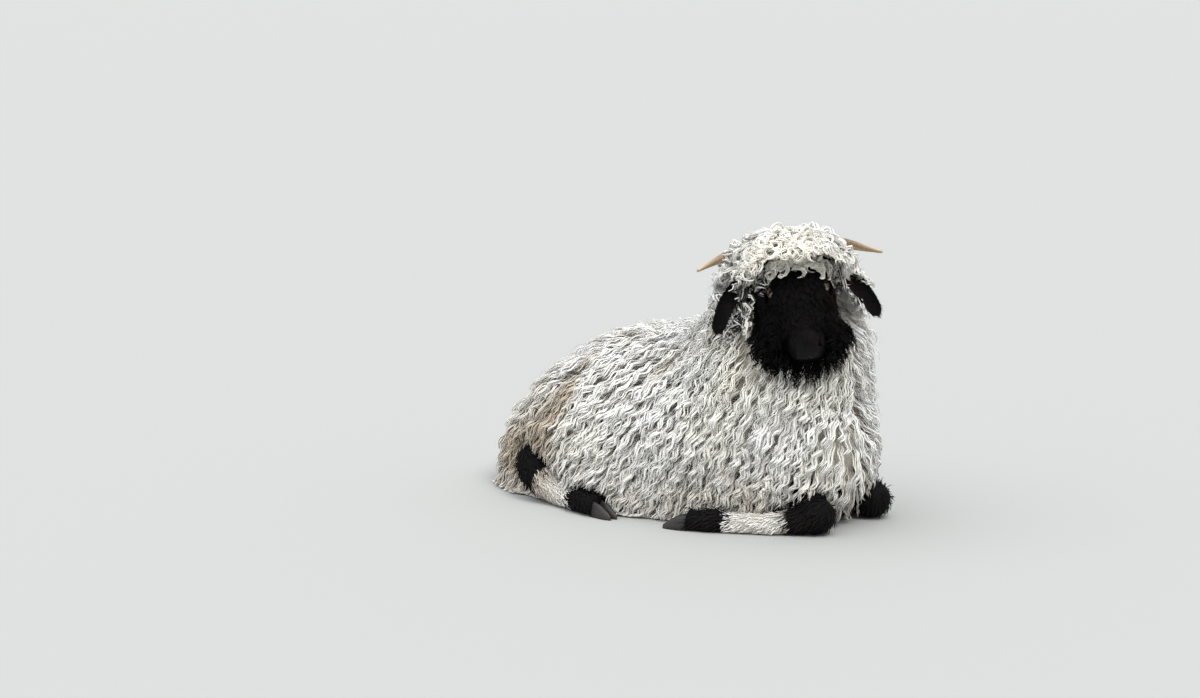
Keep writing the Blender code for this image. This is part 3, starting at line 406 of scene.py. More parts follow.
legs = {
    "hind": [
        ((-0.335, 0.170, 0.092), 0.034), ((-0.300, 0.196, 0.070), 0.040), ((-0.262, 0.210, 0.050), 0.036),
        ((-0.215, 0.222, 0.030), 0.027), ((-0.160, 0.236, 0.021), 0.023), ((-0.125, 0.246, 0.025), 0.028),
        ((-0.090, 0.256, 0.022), 0.025), ((-0.066, 0.262, 0.022), 0.026),
    ],
    "fore": [
        ((0.440, 0.112, 0.042), 0.034), ((0.412, 0.132, 0.031), 0.033), ((0.385, 0.150, 0.025), 0.027),
        ((0.345, 0.178, 0.021), 0.023), ((0.272, 0.212, 0.020), 0.022), ((0.238, 0.228, 0.024), 0.027),
        ((0.208, 0.240, 0.021), 0.024), ((0.186, 0.247, 0.021), 0.025),
    ],
    "forearm": [((0.330, 0.070, 0.120), 0.036), ((0.442, 0.112, 0.048), 0.037)],
    "kneeCentre": (0.442, 0.112, 0.044),
    "kneeRadii": (0.042, 0.040, 0.042),
    "whiteParts": (2, 3),   # the stretches of the path that are white cannon
    "rings": 34,
    "sides": 20,
}
hoof = {
    "length": 0.058, "width": 0.021, "height": 0.036, "rings": 16, "gap": 0.0012, "offFloor": 0.0004,
    "outline": np.array([(0.0, 0.92, 1.0), (0.4, 1.0, 0.86), (0.8, 0.70, 0.50), (1.0, 0.24, 0.24)]),
}
tail = {
    "path": [(-0.415, 0.010, 0.182), (-0.462, 0.020, 0.147), (-0.500, 0.030, 0.098), (-0.525, 0.040, 0.050)],
    "radii": (0.048, 0.050, 0.047, 0.044, 0.039, 0.031, 0.016),
    "skinShare": 0.45,
    "rings": 14,
}


def legPath(prefix, side):
    return np.array([mirrored(spot, side) for spot, _ in legs[prefix]])


# Meshes.
def place(obj):
    bpy.context.scene.collection.objects.link(obj)
    return obj


def meshObject(name, points, faces, outwards=True):
    mesh = bpy.data.meshes.new(name)
    mesh.from_pydata(np.asarray(points, float).tolist(), [], faces)
    if outwards:
        work = bmesh.new()
        work.from_mesh(mesh)
        bmesh.ops.recalc_face_normals(work, faces=work.faces)
        work.to_mesh(mesh)
        work.free()
    mesh.shade_smooth()
    return place(bpy.data.objects.new(name, mesh))


# A closed body through rings of points, with a fan at each end.
def loft(name, rings):
    rings = np.asarray(rings, float)
    count = rings.shape[1]
    points = np.concatenate([rings.reshape(-1, 3), [rings[0].mean(0), rings[-1].mean(0)]])
    faces = []
    for r in range(len(rings) - 1):
        low, high = r * count, (r + 1) * count
        faces += [(low + i, low + (i + 1) % count, high + (i + 1) % count, high + i) for i in range(count)]
    first, last, final = len(points) - 2, len(points) - 1, (len(rings) - 1) * count
    faces += [((i + 1) % count, i, first) for i in range(count)]
    faces += [(final + i, final + (i + 1) % count, last) for i in range(count)]
    return meshObject(name, points, faces)


# Points evenly along a smooth curve through the given ones, or numbers in the same way.
def smoothPath(points, count):
    points = [np.array(p, float) for p in points]
    points = [2 * points[0] - points[1]] + points + [2 * points[-1] - points[-2]]
    found = []
    for share in np.linspace(0.0, len(points) - 3, count):
        i = min(int(share), len(points) - 4)
        t = share - i
        a, b, c, d = points[i : i + 4]
        curve = 2 * b + (c - a) * t + (2 * a - 5 * b + 4 * c - d) * t**2 + (3 * b - a - 3 * c + d) * t**3
        found.append(0.5 * curve)
    return np.array(found)


def turns(count, shift=0.0):
    return fullTurn * (np.arange(count) + shift) / count


def spokes(angles, across, over):
    return np.cos(angles)[:, None] * across + np.sin(angles)[:, None] * over


def heading(path, i):
    return unit(path[min(i + 1, len(path) - 1)] - path[max(i - 1, 0)])


def tubeRings(points, radii, sides, lowest=0.0):
    rings = []
    for i, (spot, radius) in enumerate(zip(points, radii)):
        ahead = heading(points, i)
        across = unit(np.cross(upright if abs(ahead[2]) < 0.9 else np.array([1.0, 0.0, 0.0]), ahead))
        rings.append(spot + radius * spokes(turns(sides, 0.5), across, unit(np.cross(ahead, across))))
        rings[-1][:, 2] = np.maximum(rings[-1][:, 2], lowest)
    return rings


def pointsOf(obj):
    spots = np.empty(len(obj.data.vertices) * 3, np.float32)
    obj.data.vertices.foreach_get("co", spots)
    return spots.reshape(-1, 3).astype(float)


def movePoints(obj, points):
    obj.data.vertices.foreach_set("co", points.astype(np.float32).ravel())
    obj.data.update()


def paint(obj, colours):
    layer = obj.data.attributes.get("markings") or obj.data.attributes.new("markings", "FLOAT_COLOR", "POINT")
    full = np.ones((len(colours), 4), np.float32)
    full[:, :3] = colours
    layer.data.foreach_set("color", full.ravel())


# The material, body, slot and replaced nodes of a finished piece.
def finishPiece(made, finish, nodes=()):
    made.data.materials.append(materials[finish])
    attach(made, "root")
    if nodes:
        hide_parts(*nodes)


# A node with its settings, its constant inputs and the outputs that feed its other inputs.
def addNode(tree, kind, settings, values, sources):
    made = tree.nodes.new(kind)
    for key, value in settings.items():
        setattr(made, key, value)
    for key, value in values.items():
        made.inputs[key].default_value = value
    for key, source in sources.items():
        tree.links.new(source, made.inputs[key])
    return made.outputs


# Fine fibres that run along a strand or over a surface, as a shade and a height.
def fibreGroup():
    tree = bpy.data.node_groups.new("fibres", "ShaderNodeTree")
    for name, where, kind in (
        ("Place", "INPUT", "Vector"), ("Across", "INPUT", "Float"), ("Along", "INPUT", "Float"),
        ("Contrast", "INPUT", "Float"), ("Shade", "OUTPUT", "Float"), ("Height", "OUTPUT", "Float"),
    ):
        tree.interface.new_socket(name=name, in_out=where, socket_type="NodeSocket" + kind)
    start = tree.nodes.new("NodeGroupInput").outputs
    scale = {"X": start["Across"], "Y": start["Along"], "Z": start["Along"]}
    scale = addNode(tree, "ShaderNodeCombineXYZ", {}, {}, scale)
    stretch = {0: start["Place"], 1: scale["Vector"]}
    stretch = addNode(tree, "ShaderNodeVectorMath", {"operation": "MULTIPLY"}, {}, stretch)
    detail = {"Scale": 1.0, "Detail": 3.0, "Roughness": 0.6}
    noise = addNode(tree, "ShaderNodeTexNoise", {}, detail, {"Vector": stretch["Vector"]})
    low = addNode(tree, "ShaderNodeMath", {"operation": "SUBTRACT"}, {0: 1.0}, {1: start["Contrast"]})
    shade = {"Value": noise["Fac"], "To Min": low["Value"]}
    shade = addNode(tree, "ShaderNodeMapRange", {}, {"From Min": 0.3, "From Max": 0.7}, shade)
    addNode(tree, "NodeGroupOutput", {}, {}, {"Shade": shade["Result"], "Height": noise["Fac"]})
    return tree


# A material whose colour is the painted markings, shaded by fibres, with a bump of the same fibres.
def furMaterial(name, look):
    made = bpy.data.materials.new(name)
    made.use_nodes = True
    tree = made.node_tree
    shader = tree.nodes["Principled BSDF"].inputs
    markings = addNode(tree, "ShaderNodeAttribute", {"attribute_name": "markings"}, {}, {})
    if look["byStrand"]:
        where = addNode(tree, "ShaderNodeUVMap", {"uv_map": "strand"}, {}, {})["UV"]
    else:
        where = tree.nodes.new("ShaderNodeTexCoord").outputs["Object"]
    values = {key: look[key] for key in ("Across", "Along", "Contrast")}
    grain = addNode(tree, "ShaderNodeGroup", {"node_tree": fibres}, values, {"Place": where})
    mix = {"data_type": "RGBA", "blend_type": "MULTIPLY"}
    colour = {"A": markings["Color"], "B": grain["Shade"]}
    colour = addNode(tree, "ShaderNodeMix", mix, {"Factor": 1.0}, colour)
    strength = {"Strength": look["bump"], "Distance": look["bumpDistance"]}
    bump = addNode(tree, "ShaderNodeBump", {}, strength, {"Height": grain["Height"]})
    tree.links.new(colour["Result"], shader["Base Color"])
    tree.links.new(bump["Normal"], shader["Normal"])
    shader["Roughness"].default_value = look["roughness"]
    shader["Specular IOR Level"].default_value = look["specular"]
    shader["Sheen Weight"].default_value = look["sheen"]
    shader["Sheen Roughness"].default_value = 0.5
    shader["Coat Weight"].default_value = look["coat"]
    shader["Coat Roughness"].default_value = 0.04
    return made


# Each finish, in the order of the names above it. Fibres are counted per metre, or per strand by strand.
lookNames = (
    "byStrand", "Across", "Along", "Contrast", "bump", "bumpDistance",
    "roughness", "specular", "sheen", "coat",
)
looks = {
    "whiteWool": (True, 5.0, 2.5, 0.12, 0.3, 0.0010, 0.80, 0.20, 0.30, 0.0),
    "blackWool": (True, 4.0, 2.0, 0.30, 0.5, 0.0012, 0.75, 0.09, 0.0, 0.0),
    "bareSkin": (False, 260.0, 260.0, 0.35, 0.4, 0.0015, 0.78, 0.10, 0.0, 0.0),
    "noseLeather": (False, 520.0, 520.0, 0.30, 0.35, 0.0008, 0.55, 0.12, 0.0, 0.0),
    "hornShell": (False, 300.0, 300.0, 0.22, 0.35, 0.0006, 0.52, 0.40, 0.0, 0.0),
    "hoofShell": (False, 260.0, 160.0, 0.30, 0.35, 0.0008, 0.48, 0.40, 0.0, 0.0),
    "eyeGloss": (False, 900.0, 900.0, 0.12, 0.0, 0.0001, 0.12, 0.50, 0.0, 1.0),
}
fibres = fibreGroup()
materials = {name: furMaterial(name, dict(zip(lookNames, look))) for name, look in looks.items()}
print("materials made")

# Markings: white fleece, yellower on the crown and neck, brown in partings and at the base of the rump, and
# browner towards the floor, partly dirt and partly painted shade.
markings = {
    "white": (0.88, 0.865, 0.835),
    "cream": (0.89, 0.83, 0.69),
    "root": (0.84, 0.77, 0.64),
    "brown": (0.44, 0.34, 0.22),
    "black": (0.0034, 0.0030, 0.0034),
    "dust": (0.017, 0.014, 0.012),
    "rust": (0.040, 0.015, 0.011),
    "rustSpot": (0.075, 0.02, -0.07),
    "temple": {-1: (0.092, 0.020, -0.084), 1: (0.082, 0.000, -0.066)},
    "templeReach": {-1: 0.055, 1: 0.036},
    "templeShare": {-1: 0.97, 1: 0.88},
    "templeTips": {-1: (0.119, 0.118, -0.090), 1: (0.097, 0.146, -0.098)},
    "tipReach": 0.036,
    "bibReach": 0.011,
    "shades": (0.86, 1.10),
}


def mixed(low, high, share):
    share = np.asarray(share)[..., None]
    return np.asarray(low) * (1.0 - share) + np.asarray(high) * share


# How many strands are black between the face and the ears, and how many have black roots by the face.
def blackShare(points, tips):
    temple = np.zeros(len(points))
    for side in bothSides:
        for spots, name, reach, power in (
            (points, "temple", markings["templeReach"][side], 2),
            (tips, "templeTips", markings["tipReach"], 4),
        ):
            spot = markings[name][side]
            near = bell(distanceTo(spots, byPoll(side * spot[0], spot[1], spot[2])), reach, power)
            temple = np.maximum(temple, markings["templeShare"][side] * near)
    along, _, _ = faceSections(points)
    near = bell(np.maximum(faceDistance(points) - 0.7 * faceDepth(points), 0.0), markings["bibReach"])
    ahead = smoothShare(along, 0.05, 0.11) * (1.0 - smoothShare(along, 0.25, 0.30))
    return temple, 0.45 * near * ahead


# Colour of white wool from the place of its root and tip and how far along the strand.
def fleeceColour(roots, tips, along, vary):
    crown, neck = crownShare(roots), neckShare(roots)
    front = smoothShare((roots - crownCentre) @ headForward, -0.04, 0.06)
    cream = 0.50 * crown * front + 0.35 * neck * front + 0.16 * drift(roots, 0.05, 5) + 0.08
    stain = stainShare(tips) + 0.60 * partingShare(tips) + 0.12 * drift(roots, 0.03, 8)
    # Browner towards the floor and towards the rump: partly dirt at the hem, partly painted shade.
    low = 0.42 * (1.0 - smoothShare(tips[:, 2], 0.02, 0.18)) + 0.22 * smoothShare(-tips[:, 0], 0.18, 0.38)
    base = mixed(markings["white"], markings["cream"], unitShare(cream))
    base = mixed(base, markings["brown"], 0.90 * unitShare(stain + low)) * vary[:, None]
    chance, (temple, bib) = (vary - 0.86) / 0.24, blackShare(roots, tips)
    reach = np.where(chance < temple, 2.0, np.where(chance < bib, 0.25, -1.0))
    deep = mixed(base, markings["root"], 0.6)
    shades = mixed(deep[:, None], base[:, None], smoothShare(along, 0.0, 0.45)[None])
    dark = blackColour(roots, tips, along, vary)
    return np.where((along[None] < reach[:, None])[..., None], dark, shades)


def blackColour(roots, tips, along, vary):
    rust = bell(distanceTo(roots, byPoll(*markings["rustSpot"])), 0.045)
    rust = unitShare(0.9 * rust + 0.10 * drift(roots, 0.02, 3))
    base = mixed(markings["black"], markings["rust"], rust) * vary[:, None]
    dust = 0.7 * (1.0 - smoothShare(roots[:, 2], 0.03, 0.14)) * (0.7 + 0.3 * drift(roots, 0.02, 6))
    return mixed(base, markings["dust"], unitShare(dust))[:, None, :] * (0.8 + 0.4 * along[None, :, None])


# The cannons take the fleece's colours from higher up, so they get less of the browning towards the floor,
# which is partly dirt and partly painted shade.
def cannonColour(roots, tips, along, vary):
    return fleeceColour(roots, tips + 0.09 * upright, along, vary)


# Points spread over a mesh where keep allows, each far from the others.
def scattered(obj, spacing, keep, rng, tries):
    obj.data.calc_loop_triangles()
    corners = np.empty(len(obj.data.loop_triangles) * 3, np.int32)
    obj.data.loop_triangles.foreach_get("vertices", corners)
    corners = pointsOf(obj)[corners.reshape(-1, 3)]
    areas = np.linalg.norm(np.cross(corners[:, 1] - corners[:, 0], corners[:, 2] - corners[:, 0]), axis=1)
    picks = rng.choice(len(corners), size=tries, p=areas / areas.sum())
    u, v = rng.random(tries), rng.random(tries)
    flip = u + v > 1.0
    u[flip], v[flip] = 1.0 - u[flip], 1.0 - v[flip]
    a, b, c = corners[picks, 0], corners[picks, 1], corners[picks, 2]
    found = a + u[:, None] * (b - a) + v[:, None] * (c - a)
    normals = units(np.cross(b - a, c - a))
    allowed = keep(found)
    found, normals = found[allowed], normals[allowed]
    apart = spacing(found) if callable(spacing) else np.full(len(found), spacing)
    # Points are taken in turn and kept where no kept point is near, by a grid of cells.
    kept, cells, around = [], {}, list(np.ndindex(3, 3, 3))
    for i, (x, y, z) in enumerate(np.floor(found / float(apart.max())).astype(int)):
        near = [j for dx, dy, dz in around for j in cells.get((x + dx - 1, y + dy - 1, z + dz - 1), ())]
        if near and np.min(distanceTo(found[near], found[i])) < apart[i]:
            continue
        cells.setdefault((x, y, z), []).append(i)
        kept.append(i)
    return found[kept], normals[kept]


# Points set at a share of the coat's depth, and not drawn inwards where the coat hangs.
def raised(coat, spots, normals, heights):
    lift = heights * coat["depth"](spots) - coat["distance"](spots)
    lift = np.where(lift < 0.0, lift * (1.0 - unitShare(-normals[:, 2] * 3.0)), lift)
    return spots + lift[:, None] * normals


# Centre lines along the lie of a coat, at the given shares of its depth.
def guidePaths(coat, roots, lengths, heights):
    steps, spot, centres, normals = heights.shape[1], roots, [], []
    for i in range(steps):
        normal = outward(spot, coat["distance"])
        if i:
            spot = spot + coat["lie"](spot, normal) * (lengths / (steps - 1))[:, None]
            normal = outward(spot, coat["distance"])
        spot = raised(coat, spot, normal, heights[:, i])
        centres.append(spot)
        normals.append(normal)
    return np.stack(centres, 1), np.stack(normals, 1)


# Strands in locks: each guide line carries several strands that wave together and gather towards its tip.
def growLocks(coat, form, roots, rng):
    steps, count, many = form["steps"], form["strands"], len(roots)
    share = np.linspace(0.0, 1.0, steps + 1)
    top = rng.uniform(form["tipLow"], form["tipHigh"], many)
    rise = 1.0 - (1.0 - share) ** form["rise"]
    bottom = form["rootHeight"] + form["rootSpread"] * rng.random(many)
    heights = bottom[:, None] + (top - bottom)[:, None] * rise
    lengths = form["length"] * rng.uniform(0.80, 1.20, many)
    paths, normals = guidePaths(coat, roots, lengths, heights)
    ahead = units(np.gradient(paths, axis=1))
    across = units(np.cross(normals, ahead))
    turn = rng.uniform(0.0, fullTurn, (many, count))
    reach = form["spread"] * np.sqrt((np.arange(count) + 0.5) / count) * rng.uniform(0.75, 1.2, (many, count))
    offset = (np.cos(turn) * reach)[..., None] * across[:, None, 0]
    offset = offset + (np.sin(turn) * reach)[..., None] * ahead[:, None, 0]
    gather = form["gather"] * rng.uniform(0.7, 1.15, (many, count))
    shrink = 1.0 - gather[:, :, None] * share ** 1.4
    flat = (paths[:, None] + offset[:, :, None, :] * shrink[..., None]).reshape(-1, 3)
    normal = outward(flat, coat["distance"])
    fly = rng.random((many, count, 1)) < form["fly"]
    height = heights[:, None] * rng.uniform(0.88, 1.06, (many, count, 1)) * np.where(fly, 1.10, 1.0)
    lines = raised(coat, flat, normal, height.reshape(-1)).reshape(-1, steps + 1, 3)
    normal = normal.reshape(lines.shape)
    ahead = units(np.gradient(lines, axis=1))
    across = units(np.cross(normal, ahead))
    over = units(np.cross(ahead, across))
    # Waves of the lock, with each strand a little out of step.
    repeat = lambda values: np.repeat(values, count)
    wave = form["wave"] * rng.uniform(0.8, 1.25, many)
    phase = rng.uniform(0.0, fullTurn, many)
    hand = rng.choice((-1.0, 1.0), many)
    swing = form["swing"] * rng.uniform(0.6, 1.35, many)
    phase = (phase[:, None] + rng.normal(0.0, form["stray"], (many, count))).reshape(-1)
    angles = fullTurn * repeat(lengths / wave)[:, None] * share + phase[:, None]
    grow = repeat(swing)[:, None] * smoothShare(share, 0.0, form["waveFrom"])
    looped = repeat(rng.random(many) < form["looped"])[:, None, None]
    lines = lines + (grow * np.sin(angles))[..., None] * across
    second = grow * form["curl"] * repeat(hand)[:, None] * np.cos(angles)
    lines = lines + second[..., None] * np.where(looped, ahead, over)
    width = form["width"] * rng.uniform(0.7, 1.3, many * count) * np.where(fly.reshape(-1), 0.5, 1.0)
    return {"lines": lines, "normals": normal, "width": width, "roots": lines[:, 0].copy(), "form": form}


# Short fur on a surface: each tuft leaves its root along the flow and bends down again.
def growTufts(form, roots, normals, flow, rng):
    steps, many = form["steps"], len(roots)
    share = np.linspace(0.0, 1.0, steps + 1)
    flow = flow - np.sum(flow * normals, axis=1)[:, None] * normals
    flow = units(flow) + form["stray"] * rng.normal(0.0, 0.4, (many, 3))
    length = form["length"] * rng.uniform(0.7, 1.3, many)[:, None]
    lift = form["lift"] * (share * (1.0 - 0.45 * share)) - 0.04
    lines = roots[:, None] + (length * share)[..., None] * flow[:, None]
    lines = lines + (length * lift)[..., None] * normals[:, None]
    phase = rng.uniform(0.0, fullTurn, many)[:, None]
    wave = form["swing"] * share * np.sin(fullTurn * share * length / form["wave"] + phase)
    lines = lines + wave[..., None] * units(np.cross(normals, flow))[:, None]
    width = form["width"] * rng.uniform(0.7, 1.3, many)
    normals = np.repeat(normals[:, None], steps + 1, axis=1)
    return {"lines": lines, "normals": normals, "width": width, "roots": roots, "form": form}


strand = {"sides": 3, "patch": 0.003}   # corners round a strand, and the size of its patch on the unwrap


# Rings round each strand's centre line, and its tip.
def strandRings(strands):
    form, lines = strands["form"], strands["lines"].copy()
    share = np.linspace(0.0, 1.0, form["steps"] + 1)
    shape = (0.55 + 0.45 * smoothShare(share, 0.0, 0.35)) * (1.0 - share ** form["taper"]) ** 0.7
    thick = strands["width"][:, None] * shape
    lines[..., 2] = np.maximum(lines[..., 2], body["lowestWool"] + 0.5 * thick)
    ahead = units(np.gradient(lines, axis=1))
    across = units(np.cross(strands["normals"], ahead))
    over = units(np.cross(ahead, across))
    angles = turns(strand["sides"], 0.25)[None, None, :, None]
    wide = 0.5 * thick[:, :-1, None, None]
    rings = lines[:, :-1, None, :] + wide * np.cos(angles) * across[:, :-1, None, :]
    return rings + wide * form["flat"] * np.sin(angles) * over[:, :-1, None, :], lines[:, -1]


# Faces of one strand as lists of corners, with each corner's place round and along it.
def strandFaces(steps):
    sides = strand["sides"]
    faces = [[(k, k / sides, 0.0) for k in reversed(range(sides))]]
    for r in range(steps - 1):
        for k in range(sides):
            low, high, m = r / steps, (r + 1) / steps, (k + 1) % sides
            faces.append([
                (r * sides + k, k / sides, low), (r * sides + m, (k + 1) / sides, low),
                ((r + 1) * sides + m, (k + 1) / sides, high), ((r + 1) * sides + k, k / sides, high),
            ])
    first, last = (steps - 1) * sides, 1.0 - 1.0 / steps
    for k in range(sides):
        faces.append([
            (first + k, k / sides, last), (first + (k + 1) % sides, (k + 1) / sides, last),
            (steps * sides, (k + 0.5) / sides, 1.0),
        ])
    return faces


# One mesh of all the strands, painted, with its two maps.
def coatPiece(name, strands, colour, unwrap, rng):
    steps, sides, white = strands["form"]["steps"], strand["sides"], colour is not blackColour
    rings, tips = strandRings(strands)
    faces, many = strandFaces(steps), len(tips)
    ring, after = rings[0][0], rings[0][1]
    edges = [(ring[k], ring[(k + 1) % sides] - ring[k], after[k] - ring[k]) for k in range(sides)]
    if sum(np.dot(spot - ring.mean(0), np.cross(edge, rise)) for spot, edge, rise in edges) < 0.0:
        faces = [corners[::-1] for corners in faces]
    sizes = np.array([len(corners) for corners in faces])
    table = np.array([corner for corners in faces for corner in corners])
    corners, places = table[:, 0].astype(int), table[:, 1:]
    points = np.concatenate([rings.reshape(many, -1, 3), tips[:, None, :]], axis=1)
    loops = (corners[None, :] + points.shape[1] * np.arange(many)[:, None]).ravel()
    starts = np.cumsum(np.tile(sizes, many)) - np.tile(sizes, many)
    mesh = bpy.data.meshes.new(name)
    mesh.vertices.add(points.size // 3)
    mesh.vertices.foreach_set("co", points.astype(np.float32).ravel())
    mesh.loops.add(len(loops))
    mesh.loops.foreach_set("vertex_index", loops.astype(np.int32))
    mesh.polygons.add(len(starts))
    mesh.polygons.foreach_set("loop_start", starts.astype(np.int32))
    mesh.update(calc_edges=True)
    mesh.shade_smooth()
    spots = unwrap(strands["roots"])
    low, high = spots.min(0), spots.max(0)
    spots = 0.02 + 0.95 * (spots - low) / np.maximum(high - low, 1e-6)
    shift = rng.uniform(0.0, 40.0, (many, 1, 2))
    for layer, spot, size in (("OFBake", spots[:, None, :], strand["patch"]), ("strand", shift, 1.0)):
        made = mesh.uv_layers.new(name=layer)
        made.uv.foreach_set("vector", (spot + size * places[None]).astype(np.float32).ravel())
    made = place(bpy.data.objects.new(name, mesh))
    vary = rng.uniform(*markings["shades"], many)
    tips, share = strands["lines"][:, -1 - steps // 3], np.linspace(0.0, 1.0, steps + 1)
    shades = colour(strands["roots"], tips, share, vary)
    shades = np.concatenate([np.repeat(shades[:, :-1], sides, axis=1), shades[:, -1:]], axis=1)
    paint(made, shades.reshape(-1, 3))
    finishPiece(made, "whiteWool" if white else "blackWool")
    print(name, many, "strands", int(many * (sizes - 2).sum()), "triangles")


# Flat places round an axis and along it, or spread out over a crown.
def unwrapper(origin, axis, start, over=False):
    axis = unit(np.array(axis, float))
    start = square(np.array(start, float), axis)

    def unwrap(points):
        away = units(points - origin) if over else points - origin
        turn = np.arctan2(away @ np.cross(axis, start), away @ start)
        if not over:
            return np.stack([away @ axis, turn], axis=1)
        polar = np.arccos(np.clip(away @ axis, -1.0, 1.0))
        return np.stack([polar * np.cos(turn), polar * np.sin(turn)], axis=1)

    return unwrap


# The skin of the body under the fleece.
def bodySkin():
    rough, share = bmesh.new(), body["skinShare"]
    for start, end, startRadius, endRadius in flesh:
        for step in np.linspace(0.0, 1.0, 5):
            centre = np.array(start) + step * (np.array(end) - np.array(start))
            radius = startRadius + step * (endRadius - startRadius)
            radius += share * float(fleeceDepth(centre[None, :])[0])
            ball = bmesh.ops.create_icosphere(rough, subdivisions=3, radius=radius)
            bmesh.ops.translate(rough, verts=ball["verts"], vec=Vector(centre))
    mesh = bpy.data.meshes.new("rough")
    rough.to_mesh(mesh)
    rough.free()
    made = place(bpy.data.objects.new("bodySkin", mesh))
    even = made.modifiers.new("even", "REMESH")
    even.mode, even.voxel_size = "VOXEL", body["skinVoxel"]
    bpy.context.view_layer.update()
    made.data = bpy.data.meshes.new_from_object(made.evaluated_get(bpy.context.evaluated_depsgraph_get()))
    made.modifiers.clear()
    points = pointsOf(made)
    for _ in range(6):
        away = fleeceDistance(points) - share * fleeceDepth(points)
        points -= away[:, None] * outward(points, fleeceDistance)
    points[:, 2] = np.maximum(points[:, 2], 0.0)
    # Behind the black face the skin of the crown is pressed flat.
    along, out, left = faceSections(points)
    half, bottom = stations(along, (1, 3))
    behind = (np.abs(left) < half + 0.020) & (out > bottom - 0.010)
    points -= headNose * (np.maximum(along - face["back"], 0.0) * behind)[:, None]
    movePoints(made, points)
    made.data.shade_smooth()
    return made


# The bare face with lids, nostrils, lips and the line of the mouth.
features = {
    "lidOpening": 0.0118, "lidSquash": 0.66, "lidThickness": 0.0026,
    "mouthCorner": 0.165, "mouthFront": 0.235, "mouthLevel": -0.060,
    "mouthWidth": 0.0022, "mouthDepth": 0.0034,
    "lipWidth": 0.0085, "lipHeight": 0.0018,
    "nostril": [
        (0.236, -0.040, 0.012), (0.238, -0.034, 0.019), (0.233, -0.026, 0.026), (0.226, -0.021, 0.030),
    ],
    "nostrilWidth": (0.0040, 0.0036, 0.0026), "nostrilDepth": 0.0075, "nostrilRim": 0.0016,
    "creaseWidth": 0.0018, "creaseDepth": 0.0016, "bridgeWidth": 0.020, "bridgeHeight": 0.0035,
    "browSpot": (0.062, -0.002, 0.055), "browWidth": 0.017, "browHeight": 0.006,
    "leatherFrom": 0.226, "leatherHalf": 0.027,
}


def onNoseLeather(along, out, left):
    high, low = features["nostril"][-1][1] + 0.002, features["mouthLevel"] + 0.003
    ahead = (along > features["leatherFrom"]) & (np.abs(left) < features["leatherHalf"])
    return ahead & (out < high) & (out > low)


def faceSurface(along, out, left):
    points = np.array([onFace(along, out, left)])
    for _ in range(4):
        points = points - faceDistance(points)[:, None] * outward(points, faceDistance)
    return points[0]


def mouthPath():
    path, corner = [], features["mouthCorner"]
    for turn in np.linspace(-1.0, 1.0, 25):
        angle = 0.5 * math.pi * turn
        bow = max(math.cos(angle), 0.0)
        along = min(corner + (features["mouthFront"] + 0.016 - corner) * bow**0.7, 0.249)
        path.append(faceSurface(along, features["mouthLevel"] + 0.004 * bow, 0.043 * math.sin(angle)))
    return path


def bareFace():
    start, share = face["stations"][0, 0], np.linspace(0.0, 1.0, face["rings"])
    along = start + (face["tip"] - start) * (1.0 - (1.0 - share) ** 1.35)
    half, top, bottom, power = stations(along, (1, 2, 3, 4))
    close = unitShare((face["tip"] - along) / 0.0030) ** 0.5
    half, middle, rise = half * close, 0.5 * (top + bottom), 0.5 * (top - bottom) * close
    x, y = np.cos(turns(face["sides"])), np.sin(turns(face["sides"]))
    rings = []
    for i, spot in enumerate(along[:-1]):
        reach = (np.abs(x) ** power[i] + np.abs(y) ** power[i]) ** (-1.0 / power[i])
        ring = onFace(spot, middle[i]) + (rise[i] * y * reach)[:, None] * headBrow
        rings.append(ring + (half[i] * x * reach)[:, None] * headLeft)
    made = loft("bareFace", rings)
    points = pointsOf(made)
    normals = outward(points, faceDistance)
    along, out, left = faceSections(points)
    normals[along > face["tip"] - 0.002] = headNose
    near = distanceToPath(points, mouthPath())
    move = features["lipHeight"] * bell(near, features["lipWidth"])
    move -= features["mouthDepth"] * bell(near, features["mouthWidth"])
    crease = bell(left, features["creaseWidth"]) * smoothShare(along, 0.236, 0.246)
    crease *= smoothShare(-out, 0.036, 0.044) * (1.0 - smoothShare(-out, 0.058, 0.062))
    bridge = bell(left, features["bridgeWidth"]) * smoothShare(out, -0.05, 0.0)
    bridge *= smoothShare(along, 0.09, 0.14)
    move += features["bridgeHeight"] * bridge - features["creaseDepth"] * crease
    for side in bothSides:
        spots = [faceSurface(p[0], p[1], side * p[2]) for p in features["nostril"]]
        widths = features["nostrilWidth"]
        parts = [(distanceToPath(points, spots[i : i + 2]), width) for i, width in enumerate(widths)]
        for near, width in parts:
            move = np.maximum(move, features["nostrilRim"] * bell(near - 2.0 * width, width) * (near > width))
        for near, width in parts:
            move = move - features["nostrilDepth"] * bell(near, width, 4)
        spot = features["browSpot"]
        spot = onFace(spot[0], spot[1], side * spot[2])
        move = move + features["browHeight"] * bell(distanceTo(points, spot), features["browWidth"])
    points = points + move[:, None] * normals
    for side in bothSides:
        centre, facing, level, across = eyeFrame(side)
        away = points - centre
        oval = np.hypot(away @ level, away @ across / features["lidSquash"]) / features["lidOpening"]
        distance = np.linalg.norm(away, axis=1)
        lid = eye["radius"] + features["lidThickness"] * (0.5 + 0.5 * smoothShare(-oval, -1.5, -1.15))
        target = np.where(oval < 1.0, eye["radius"] - 0.004, lid)
        blend = (1.0 - smoothShare(oval, 1.55, 2.7)) * (away @ facing > 0.0)
        points = centre + away * (1.0 + blend * (target / np.maximum(distance, 1e-6) - 1.0))[:, None]
    movePoints(made, points)
    return made


